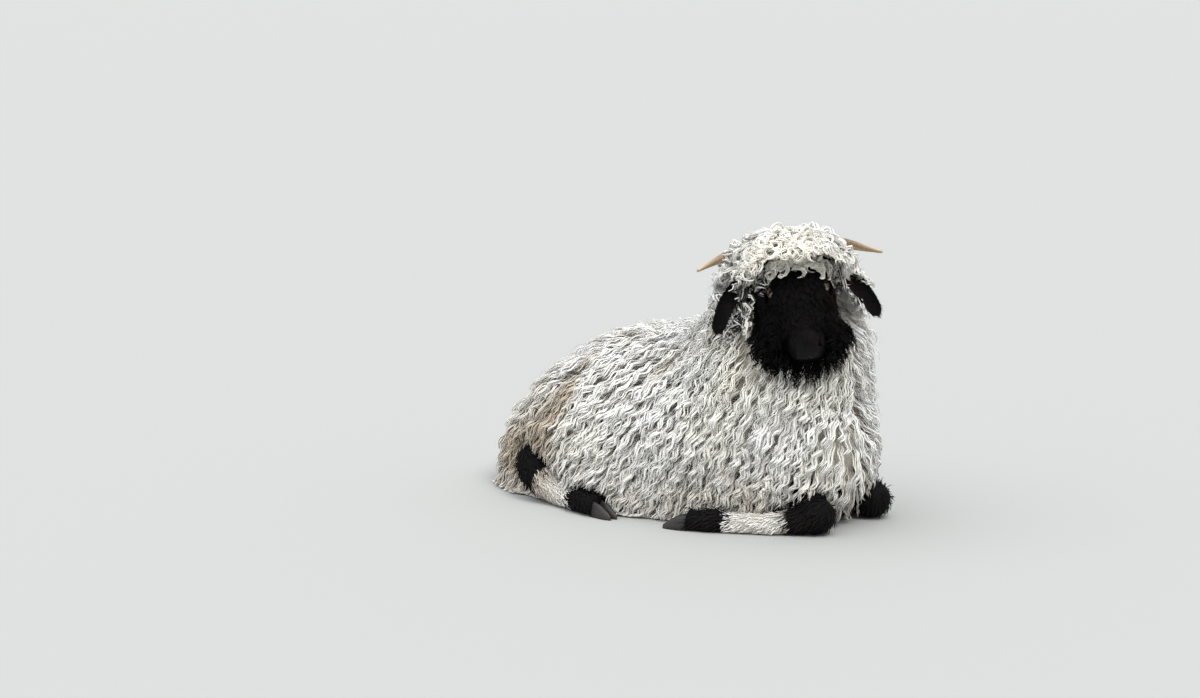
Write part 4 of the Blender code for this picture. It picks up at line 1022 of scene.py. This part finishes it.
def earSkin(side):
    rows = headPath(ear, side), ear["radii"], ear["halfAngles"]
    path, radii, angles = [smoothPath(row, ear["rings"]) for row in rows]
    share, rings = np.linspace(-1.0, 1.0, ear["arc"]), []
    lean = 0.35 + 0.65 * np.cos(0.5 * math.pi * share)
    for i, (spot, radius, degrees) in enumerate(zip(path, radii, angles)):
        ahead = heading(path, i)
        opening = square(headForward - 0.35 * headUp + side * 0.15 * headLeft, ahead)
        end = max(i / (len(path) - 1) - 0.84, 0.0) / 0.16
        half = math.radians(degrees) * math.sqrt(max(1.0 - end * end, 0.02))
        centre = spot + opening * radius * math.cos(math.radians(degrees)) * 0.5
        spoke = spokes(half * share, -opening, np.cross(ahead, opening))
        inner = centre + spoke * (radius - ear["thickness"] * lean)[:, None]
        rings.append(np.concatenate([centre + spoke * radius, inner[::-1]]))
    return loft("earSkin", rings)


def ballRings(centre, radii, rings, sides):
    found = []
    for tilt in np.linspace(-0.5 * math.pi, 0.5 * math.pi, rings + 2)[1:-1]:
        ring = math.cos(tilt) * spokes(turns(sides), *np.eye(3)[:2]) + math.sin(tilt) * upright
        found.append(np.array(centre) + ring * np.array(radii))
        found[-1][:, 2] = np.maximum(found[-1][:, 2], 0.0)
    return found


def legSkin(prefix, side):
    sides, radii = legs["sides"], smoothPath([wide for _, wide in legs[prefix]], legs["rings"])
    pieces = [loft("legSkin", tubeRings(smoothPath(legPath(prefix, side), legs["rings"]), radii, sides))]
    if prefix == "fore":
        knee = ballRings(mirrored(legs["kneeCentre"], side), legs["kneeRadii"], 14, 20)
        pieces.append(loft("kneeSkin", knee))
        arm = smoothPath(legPath("forearm", side), 8)
        wide = np.linspace(*[radius for _, radius in legs["forearm"]], 8)
        pieces.append(loft("armSkin", tubeRings(arm, wide, sides)))
    return joined("legs", pieces)


def joined(name, objects):
    work = bmesh.new()
    for obj in objects:
        work.from_mesh(obj.data)
        bpy.data.objects.remove(obj)
    mesh = bpy.data.meshes.new(name)
    work.to_mesh(mesh)
    work.free()
    mesh.shade_smooth()
    return place(bpy.data.objects.new(name, mesh))


fleeceSkin = bodySkin()
faceSkin = bareFace()
earSkins = {side: earSkin(side) for side in bothSides}
legSkins = {(prefix, side): legSkin(prefix, side) for prefix in ("hind", "fore") for side in bothSides}
tailPath = smoothPath(tail["path"], tail["rings"])
tailRadii = tail["skinShare"] * smoothPath(tail["radii"], tail["rings"])
tailSkin = loft("tailSkin", tubeRings(tailPath, tailRadii, 16, 0.004))
print("skins made")


# Which strands would stand in the face, the ears, the horns, the arch of the hock or the feet.
def blocked(lines, firm):
    flat = lines.reshape(-1, 3)
    along, _, left = faceSections(flat)
    reach = 0.85 + 0.25 * (left < -0.03) * smoothShare(along, 0.07, 0.10)
    eased = 1.0 - (1.0 - firm) * smoothShare(along, 0.185, 0.23)
    bad = (along > 0.052) & (along < 0.27) & (faceDistance(flat) < eased * (reach * faceDepth(flat) + 0.002))
    for side in bothSides:
        path = headPath(ear, side)
        near, forward = distanceToPath(flat, path[3:]), flat - path[3]
        ahead = forward @ headForward > -0.004
        bad |= (near < 0.020) | (ahead & (near < 0.034))
        if side < 0:
            bad |= ahead & (-forward @ headLeft < 0.004) & (distanceToPath(flat, path[2:]) < 0.034)
        bad |= distanceToPath(flat, headPath(horn, side)[horn["bareFrom"][side]:]) < 0.015
        away = (flat - mirrored(hockArch["centre"], side)) / hockArch["radii"]
        bad |= np.sum(away * away, axis=1) < 1.0
        for prefix in ("hind", "fore"):
            path = legPath(prefix, side)
            bad |= (distanceToPath(flat, path[4:]) < 0.025) | (distanceToPath(flat, path[:4]) < 0.031)
    return bad.reshape(lines.shape[:2]).any(1)


# Each line cut to a share of its length, with as many points as before.
def shortened(lines, keep):
    spots = keep * np.arange(lines.shape[1])
    low = np.minimum(spots.astype(int), lines.shape[1] - 2)
    part = (spots - low)[None, :, None]
    return lines[:, low] * (1.0 - part) + lines[:, low + 1] * part


# Strands that would cross the face, an ear, a horn or a leg are cut shorter, or else left out.
def clearStrands(strands):
    lines, normals = strands["lines"].copy(), strands["normals"].copy()
    bad = blocked(lines, 1.0)
    for keep, firm in ((0.75, 1.0), (0.55, 0.9), (0.40, 0.6), (0.28, 0.35)):
        places = np.flatnonzero(bad)
        lines[places] = shortened(strands["lines"][places], keep)
        normals[places] = shortened(strands["normals"][places], keep)
        bad[places] = blocked(lines[places], firm)
    strands = dict(strands, lines=lines, normals=normals)
    return {key: value if key == "form" else value[~bad] for key, value in strands.items()}


# Each kind of lock and of short fur, in the order of the names above it.
formNames = (
    "apart", "length", "spread", "strands", "width", "flat", "steps", "wave", "swing", "curl", "gather",
    "stray", "waveFrom", "rootHeight", "rootSpread", "tipLow", "tipHigh", "rise", "taper", "looped", "fly",
)
forms = {
    "flank": (
        0.0182, 0.084, 0.0120, 6, 0.0066, 0.55, 11, 0.038, 0.0042, 0.65, 0.40,
        0.45, 0.35, 0.18, 0.35, 0.80, 1.0, 2.6, 2.8, 0.0, 0.05,
    ),
    "neck": (
        0.0134, 0.088, 0.0100, 7, 0.0046, 0.65, 12, 0.036, 0.0044, 0.90, 0.35,
        0.60, 0.35, 0.18, 0.40, 0.78, 1.0, 2.4, 3.0, 0.25, 0.05,
    ),
    "crown": (
        0.0096, 0.066, 0.0062, 7, 0.0038, 0.80, 13, 0.029, 0.0100, 1.0, 0.30,
        0.16, 0.35, 0.40, 0.40, 0.76, 0.96, 2.0, 4.0, 0.55, 0.04,
    ),
    "forelock": (
        0.0092, 0.041, 0.0055, 7, 0.0038, 0.80, 12, 0.024, 0.0090, 1.0, 0.30,
        0.12, 0.35, 0.15, 0.25, 0.60, 1.0, 1.8, 4.0, 0.6, 0.04,
    ),
    "brow": (
        0.0082, 0.022, 0.0055, 6, 0.0023, 0.70, 6, 0.020, 0.0034, 1.0, 0.0,
        1.0, 0.30, 0.10, 0.50, 0.70, 0.98, 1.8, 3.0, 0.4, 0.03,
    ),
    "jaw": (
        0.0077, 0.042, 0.0070, 7, 0.0029, 0.70, 8, 0.024, 0.0052, 1.0, -0.1,
        1.1, 0.40, 0.10, 0.55, 0.70, 0.98, 1.9, 3.2, 0.4, 0.03,
    ),
    "tail": (
        0.012, 0.080, 0.010, 8, 0.0050, 0.60, 12, 0.036, 0.0046, 0.6, 0.45,
        0.50, 0.35, 0.0, 0.35, 0.74, 1.0, 2.4, 2.8, 0.0, 0.05,
    ),
    "earFringe": (
        0.0075, 0.042, 0.0045, 5, 0.0027, 0.80, 11, 0.015, 0.0038, 1.0, 0.35,
        0.25, 0.30, 0.0, 0.20, 0.55, 1.15, 1.8, 3.4, 0.35, 0.06,
    ),
}
furNames = ("apart", "length", "width", "flat", "steps", "wave", "swing", "stray", "lift", "taper")
furs = {
    "ear": (0.0030, 0.0085, 0.0017, 0.6, 3, 0.030, 0.0008, 0.35, 0.22, 2.0),
    "muzzle": (0.0031, 0.0085, 0.0014, 0.6, 3, 0.020, 0.0006, 0.45, 0.40, 2.0),
    "leg": (0.0054, 0.019, 0.0030, 0.6, 4, 0.018, 0.0020, 0.40, 0.55, 2.0),
    "cannon": (0.0037, 0.020, 0.0034, 0.6, 5, 0.020, 0.0026, 0.30, 0.30, 2.6),
}
forms = {name: dict(zip(formNames, row)) for name, row in forms.items()}
furs = {name: dict(zip(furNames, row)) for name, row in furs.items()}
ridge = {"halfWidth": 0.035, "from": (0.28, 0.34), "closer": 0.36}   # locks stand closer on the spine


def fleecePieces():
    rng = np.random.default_rng(7)

    def keep(points):
        inFace = (faceSections(points)[0] > 0.030) & (faceDistance(points) < 0.006)
        return (points[:, 2] > 0.012) & ~inFace

    def spacing(points):
        crown, neck = crownShare(points), neckShare(points)
        spine = bell(points[:, 1], ridge["halfWidth"]) * smoothShare(points[:, 2], *ridge["from"])
        wide = forms["flank"]["apart"] * (1.0 - ridge["closer"] * spine) * (1.0 - crown - neck)
        return forms["crown"]["apart"] * crown + forms["neck"]["apart"] * neck + wide

    roots = scattered(fleeceSkin, spacing, keep, rng, 42000)[0]
    x, y, forward = roots[:, 0], roots[:, 1], (roots - crownCentre) @ headForward
    onCrown = crownShare(roots) > 0.5
    onNeck = ~onCrown & (neckShare(roots) > 0.4)
    onBody = ~onCrown & ~onNeck
    aroundBody = unwrapper((0.0, 0.0, 0.15), (1, 0, 0), upright)
    aroundNeck = unwrapper(neckBase, neckUp, -headForward)
    zones = [("shoulder", x > 0.10), ("flank", (x <= 0.10) & (x > -0.16)), ("haunch", x <= -0.16)]
    parts = [(zone, onBody & where, y < 0, "flank", aroundBody, "right", "left") for zone, where in zones]
    parts.append(("neck", onNeck, y < -0.04, "neck", aroundNeck, "right", "left"))
    parts.append(("crown", onCrown, forward > 0.0, "crown", overCrown, "front", "back"))
    for index, (zone, where, first, form, unwrap, firstName, secondName) in enumerate(parts):
        for second, name in enumerate((firstName, secondName)):
            rng = np.random.default_rng(70 + 2 * index + second)   # a seed of its own for each piece
            strands = growLocks(fleece, forms[form], roots[where & (first != bool(second))], rng)
            coatPiece(f"fleece_{zone}_{name}", clearStrands(strands), fleeceColour, unwrap, rng)


# A piece of locks with roots on a skin, all of one form.
def lockPiece(name, skin, keep, tries, coat, form, unwrap, rng):
    roots = scattered(skin, forms[form]["apart"], keep, rng, tries)[0]
    coatPiece(name, growLocks(coat, forms[form], roots, rng), fleeceColour, unwrap, rng)


def forelockPiece():
    def keep(points):
        along, out, _ = faceSections(points)
        return (along > 0.016) & (along < 0.050) & (out > -0.075)

    rng = np.random.default_rng(19)
    lockPiece("fleece_forelock", faceSkin, keep, 9000, forelock, "forelock", overCrown, rng)


def faceCoat():
    def keep(points):
        along, out, _ = faceSections(points)
        clear = (along > 0.045) & (along < np.where(out > -0.050, 0.205, 0.232))
        return clear & clearOfEyes(points, 0.021)

    def spacing(points):
        jaw = smoothShare(faceDepth(points), 0.02, 0.042)
        return forms["brow"]["apart"] * (1.0 - jaw) + forms["jaw"]["apart"] * jaw

    rng = np.random.default_rng(11)
    roots = scattered(faceSkin, spacing, keep, rng, 30000)[0]
    onJaw = faceDepth(roots) > 0.022
    for form, where in (("brow", ~onJaw), ("jaw", onJaw)):
        strands = growLocks(faceWool, forms[form], roots[where], rng)
        coatPiece("wool_" + form, strands, blackColour, aroundFace, rng)


# Short fur over the nose, cheeks and lips, all round the bare nose leather.
def muzzleCoat():
    def keep(points):
        along, out, left = faceSections(points)
        clear = (along > 0.10) & ~onNoseLeather(along, out, left) & clearOfEyes(points, 0.017)
        return clear & (distanceToPath(points, mouthPath()) > 0.0025)

    rng = np.random.default_rng(71)
    roots, normals = scattered(faceSkin, furs["muzzle"]["apart"], keep, rng, 26000)
    flow = 0.5 * headNose + np.where(faceSections(roots)[1] < -0.05, 1.0, 0.4)[:, None] * down
    strands = growTufts(furs["muzzle"], roots, normals, units(flow), rng)
    coatPiece("fur_muzzle", strands, blackColour, aroundFace, rng)


def tailCoat():
    radii = [(spot, radius) for spot, radius in zip(tailPath, tailRadii)]
    coat = {
        "distance": lambda points: np.min([roundCone(points, *cone) for cone in cones(radii)], axis=0),
        "depth": lambda points: 0.030 - 0.008 * smoothShare(-points[:, 2], -0.12, -0.03),
        "lie": lambda points, normals: alongSurface(np.tile((-0.25, 0.05, -1.0), (len(points), 1)), normals),
    }
    keep, unwrap = lambda points: points[:, 2] > 0.03, unwrapper(tailPath[0], down, (-1, 0, 0))
    lockPiece("fleece_tail", tailSkin, keep, 6000, coat, "tail", unwrap, np.random.default_rng(23))


# Short fur over each ear, and white curls that hang over its base.
def earCoat(side):
    rng, path = np.random.default_rng(31 + side), headPath(ear, side)
    everywhere = lambda points: np.ones(len(points), bool)
    roots, normals = scattered(earSkins[side], furs["ear"]["apart"], everywhere, rng, 16000)
    flow = np.tile(unit(path[-1] - path[1]), (len(roots), 1))
    unwrap = unwrapper(path[0], path[-1] - path[0], headForward)
    strands = growTufts(furs["ear"], roots, normals, flow, rng)
    coatPiece("fur_ear" + sideName(side), strands, blackColour, unwrap, rng)
    path = smoothPath(path, 20)
    nearest = lambda points: np.linalg.norm(points[:, None] - path[None], axis=2).argmin(1)

    def lie(points, normals):
        spots = nearest(points).clip(0, len(path) - 2)
        return alongSurface(units(path[spots + 1] - path[spots]) + 0.5 * down, normals)

    def keep(points):
        return nearest(points) < (7 if side < 0 else 10) + 4 * drift(points, 0.02, 4)

    coat = {
        "distance": lambda points: distanceToPath(points, path) - 0.012,
        "depth": lambda points: np.full(len(points), 0.017),
        "lie": lie,
    }
    rng = np.random.default_rng(61 + side)
    lockPiece("fleece_ear" + sideName(side), earSkins[side], keep, 6000, coat, "earFringe", unwrap, rng)


# The path of a leg, with the stretch of it nearest to each point and whether that is white.
def legPart(prefix, side, points):
    path = legPath(prefix, side)
    part = np.argmin([roundCone(points, a, b, 0.0, 0.0) for a, b in zip(path[:-1], path[1:])], axis=0)
    return path, part, np.isin(part, legs["whiteParts"])


def legCoat(prefix, side):
    rng = np.random.default_rng(41 + side)
    unwrap = unwrapper(legPath(prefix, side)[0], (1, 0, 0), upright)
    kinds = ("fur", "leg", blackColour, False), ("wool", "cannon", cannonColour, True)
    for name, form, colour, white in kinds:
        def keep(points):
            onWhite = legPart(prefix, side, points + rng.normal(0.0, 0.006, points.shape))[2]
            return (points[:, 2] > 0.004) & (onWhite == white)

        roots, normals = scattered(legSkins[(prefix, side)], furs[form]["apart"], keep, rng, 9000)
        path, part, _ = legPart(prefix, side, roots)
        flow = units(path[part + 1] - path[part]) + 0.5 * down
        strands = growTufts(furs[form], roots, normals, flow, rng)
        coatPiece(f"{name}_{prefix}_leg{sideName(side)}", strands, colour, unwrap, rng)


overCrown = unwrapper(crownCentre, headUp, headForward, True)
aroundFace = unwrapper(onFace(0.0, -0.05), headNose, headBrow)
fleecePieces()
forelockPiece()
faceCoat()
muzzleCoat()
tailCoat()
for side in bothSides:
    earCoat(side)
    for prefix in ("hind", "fore"):
        legCoat(prefix, side)


# White skin in the colours of the wool's visible part, and black behind the face and the chin.
def paintWhite(obj):
    points = pointsOf(obj)
    normals = outward(points, fleeceDistance)
    lift = 0.9 * fleeceDepth(points) - fleeceDistance(points)
    tips = points + lift[:, None] * normals + 0.045 * fleeceLie(points, normals)
    shades = fleeceColour(points, tips, np.array([0.0]), np.full(len(points), 1.10))[:, 0]
    along = faceSections(points)[0]
    behind = faceDistance(points) - 0.036 * smoothShare(along, 0.10, 0.17)
    near = (1.0 - smoothShare(behind, 0.034, 0.054)) * smoothShare(along, -0.01, 0.02)
    near = unitShare(np.maximum(near, 1.4 * blackShare(points, points)[0]))
    paint(obj, mixed(shades, markings["black"], near))


# The skin as one piece, painted with the same markings as the coat.
def finishSkin():
    black = [faceSkin] + list(earSkins.values())
    for obj in black:
        points = pointsOf(obj)
        paint(obj, blackColour(points, points, np.array([0.5]), np.ones(len(points)))[:, 0])
    for (prefix, side), obj in legSkins.items():
        white = legPart(prefix, side, pointsOf(obj))[2].astype(float)
        paint(obj, mixed(markings["black"], 0.6 * np.array(markings["cream"]), white))
    paintWhite(fleeceSkin)
    paintWhite(tailSkin)
    leather = onNoseLeather(*faceSections(np.array([list(part.center) for part in faceSkin.data.polygons])))
    faceSkin.data.polygons.foreach_set("material_index", leather.astype(np.int32))
    skin = joined("skin", [fleeceSkin] + black + list(legSkins.values()) + [tailSkin])
    nodes = ["torso", "neck", "crown", "face", "tail"]
    for side in bothSides:
        nodes += [part + sideName(side) for part in ("haunch", "ear", "hind_hock", "fore_knee")]
        nodes += [part + sideName(side) for part in ("hind_cannon", "hind_foot", "fore_cannon", "fore_foot")]
    finishPiece(skin, "bareSkin", nodes)
    skin.data.materials.append(materials["noseLeather"])


finishSkin()
print("skin finished")


# The eyes: dark brown with a level pupil.
def eyeball(side):
    centre, facing, level, across = eyeFrame(side)
    rings = []
    for tilt in np.linspace(0.03, math.pi - 0.03, 40):
        spoke = math.sin(tilt) * spokes(turns(48), level, across)
        rings.append(centre + eye["radius"] * (math.cos(tilt) * facing + spoke))
    made = loft("eyeball" + sideName(side), rings)
    away = units(pointsOf(made) - centre)
    x, y = away @ level, away @ across
    iris = np.hypot(x, y)
    ring = mixed((0.075, 0.036, 0.012), (0.025, 0.012, 0.006), smoothShare(iris, 0.30, 0.62))
    colours = np.where((iris < 0.66)[:, None], ring, (0.30, 0.24, 0.20))
    colours[((np.abs(x) / 0.36) ** 4 + (np.abs(y) / 0.15) ** 4) < 1.0] = (0.002, 0.002, 0.003)
    paint(made, colours)
    finishPiece(made, "eyeGloss", ["eye" + sideName(side)])


# The horns: keeled, twisted and ringed, tan with darker streaks, redder at the root and paler at the tip.
def hornShell(side):
    count, angles = horn["rings"], turns(horn["sides"])
    path = smoothPath(headPath(horn, side), count)
    rings, colours = [], []
    for i, spot in enumerate(path):
        share, ahead = i / (count - 1), heading(path, i)
        across = unit(np.cross(headUp, ahead))
        radius = horn["rootRadius"] + (horn["tipRadius"] - horn["rootRadius"]) * share**0.8
        ridged = abs(math.sin(math.pi * horn["growthRings"] * share**0.8))
        radius *= 1.0 - 0.09 * (1.0 - share) * ridged**0.6 + 0.012 * math.sin(61.0 * share)
        turned = (angles if side > 0 else math.pi - angles) - horn["turn"] * share
        keel = 1.0 + 0.18 * np.cos(2.0 * turned) + 0.06 * np.cos(3.0 * angles)
        rings.append(spot + spokes(angles, across, np.cross(ahead, across)) * (radius * keel)[:, None])
        streak = smoothShare(np.cos(turned - 0.8), 0.30, 0.85) * (1.0 - 0.5 * share**2)
        dark = unitShare(0.95 * streak + 0.45 * ridged**4 * (1.0 - share))
        shade = mixed((0.46, 0.32, 0.17), (0.085, 0.050, 0.024), dark)
        shade = mixed(shade, (0.26, 0.10, 0.05), 0.7 * (1.0 - share) ** 2)
        colours.append(mixed(shade, (0.62, 0.50, 0.34), 0.5 * share**3))
    made = loft("horn_shell" + sideName(side), rings)
    paint(made, np.concatenate([np.concatenate(colours), [colours[0].mean(0), colours[-1].mean(0)]]))
    finishPiece(made, "hornShell", ["horn" + sideName(side)])


# The claws of the cloven feet.
def claw(name, start, ahead, turned):
    across, rings, angles = np.cross(upright, ahead), [], np.linspace(0.0, math.pi, 13)
    for share in np.linspace(0.0, 1.0, hoof["rings"]):
        wide, tall = [np.interp(share, hoof["outline"][:, 0], hoof["outline"][:, i]) for i in (1, 2)]
        beside = turned * (0.5 * hoof["width"] + hoof["gap"]) * (1.0 - 0.25 * share)
        ridged = 1.0 - 0.02 * (0.5 + 0.5 * math.sin(40.0 * share))
        ring = start + ahead * share * hoof["length"] + across * beside
        ring = ring + across * (0.5 * hoof["width"] * wide * ridged * np.cos(angles))[:, None]
        ring[:, 2] = hoof["height"] * tall * ridged * np.sin(angles) ** 0.8 + hoof["offFloor"]
        rings.append(ring)
    made = loft(name + "_shell", rings)
    height = pointsOf(made)[:, 2] / hoof["height"]
    paint(made, mixed((0.036, 0.029, 0.024), (0.012, 0.010, 0.009), smoothShare(height, 0.1, 0.9)))
    finishPiece(made, "hoofShell", [name])


for side in bothSides:
    eyeball(side)
    hornShell(side)
    for prefix in ("hind", "fore"):
        ankle, toe = legPath(prefix, side)[-2:]
        ahead = unit((toe - ankle) * (1.0, 1.0, 0.0))
        for turned, word in ((side, "outer"), (-side, "inner")):
            turned = turned * math.copysign(1.0, ahead[0])
            claw(f"{prefix}_claw_{word}{sideName(side)}", toe + ahead * 0.0018, ahead, turned)
print("eyes, horns and hooves made")

# Floor, light and camera.
light = {
    "floor": (0.35, 0.35, 0.335, 1.0),
    "skyColour": (0.88, 0.94, 1.0, 1.0),
    "sky": 1.02,
    "lamps": [
        ("keyLight", (0.540, -0.180, 0.820), 1.75, 0.40, (1.0, 0.97, 0.93)),
        ("topLight", (-0.10, -0.36, 0.93), 2.3, 1.40, (0.98, 0.99, 1.0)),
    ],
}
view = {
    "yaw": 52.0, "elevation": 10.0, "distance": 9.0, "width": 2.79,
    "right": -0.207, "height": 0.36, "sensor": 36.0,
}


def studio():
    corners = [(-30, -30, 0), (30, -30, 0), (30, 30, 0), (-30, 30, 0)]
    floor = meshObject("floor", corners, [(0, 1, 2, 3)], False)
    pale = bpy.data.materials.new("paleFloor")
    pale.use_nodes = True
    shader = pale.node_tree.nodes["Principled BSDF"].inputs
    shader["Base Color"].default_value = light["floor"]
    shader["Roughness"].default_value = 0.9
    floor.data.materials.append(pale)
    scene = bpy.context.scene
    scene.view_settings.view_transform = "Standard"
    scene.world = bpy.data.worlds.new("soft")
    scene.world.use_nodes = True
    sky = scene.world.node_tree.nodes["Background"].inputs
    sky["Color"].default_value, sky["Strength"].default_value = light["skyColour"], light["sky"]
    for name, way, strength, soft, colour in light["lamps"]:
        lamp = bpy.data.lights.new(name, "SUN")
        lamp.energy, lamp.angle, lamp.color = strength, soft, colour
        made = place(bpy.data.objects.new(name, lamp))
        made.location = 4.0 * Vector(way)
        made.rotation_euler = Vector(way).to_track_quat("Z", "Y").to_euler()


def camera():
    yaw, rise = math.radians(view["yaw"]), math.radians(view["elevation"])
    right = Vector((math.sin(yaw), math.cos(yaw), 0.0))
    back = Vector((math.cos(yaw) * math.cos(rise), -math.sin(yaw) * math.cos(rise), math.sin(rise)))
    data = bpy.data.cameras.new("camera")
    data.sensor_width, data.lens = view["sensor"], view["sensor"] * view["distance"] / view["width"]
    made = place(bpy.data.objects.new("camera", data))
    made.location = right * view["right"] + Vector((0.0, 0.0, view["height"])) + back * view["distance"]
    made.rotation_euler = back.to_track_quat("Z", "Y").to_euler()
    bpy.context.scene.camera = made


studio()
camera()
print("stage, lights and camera made")
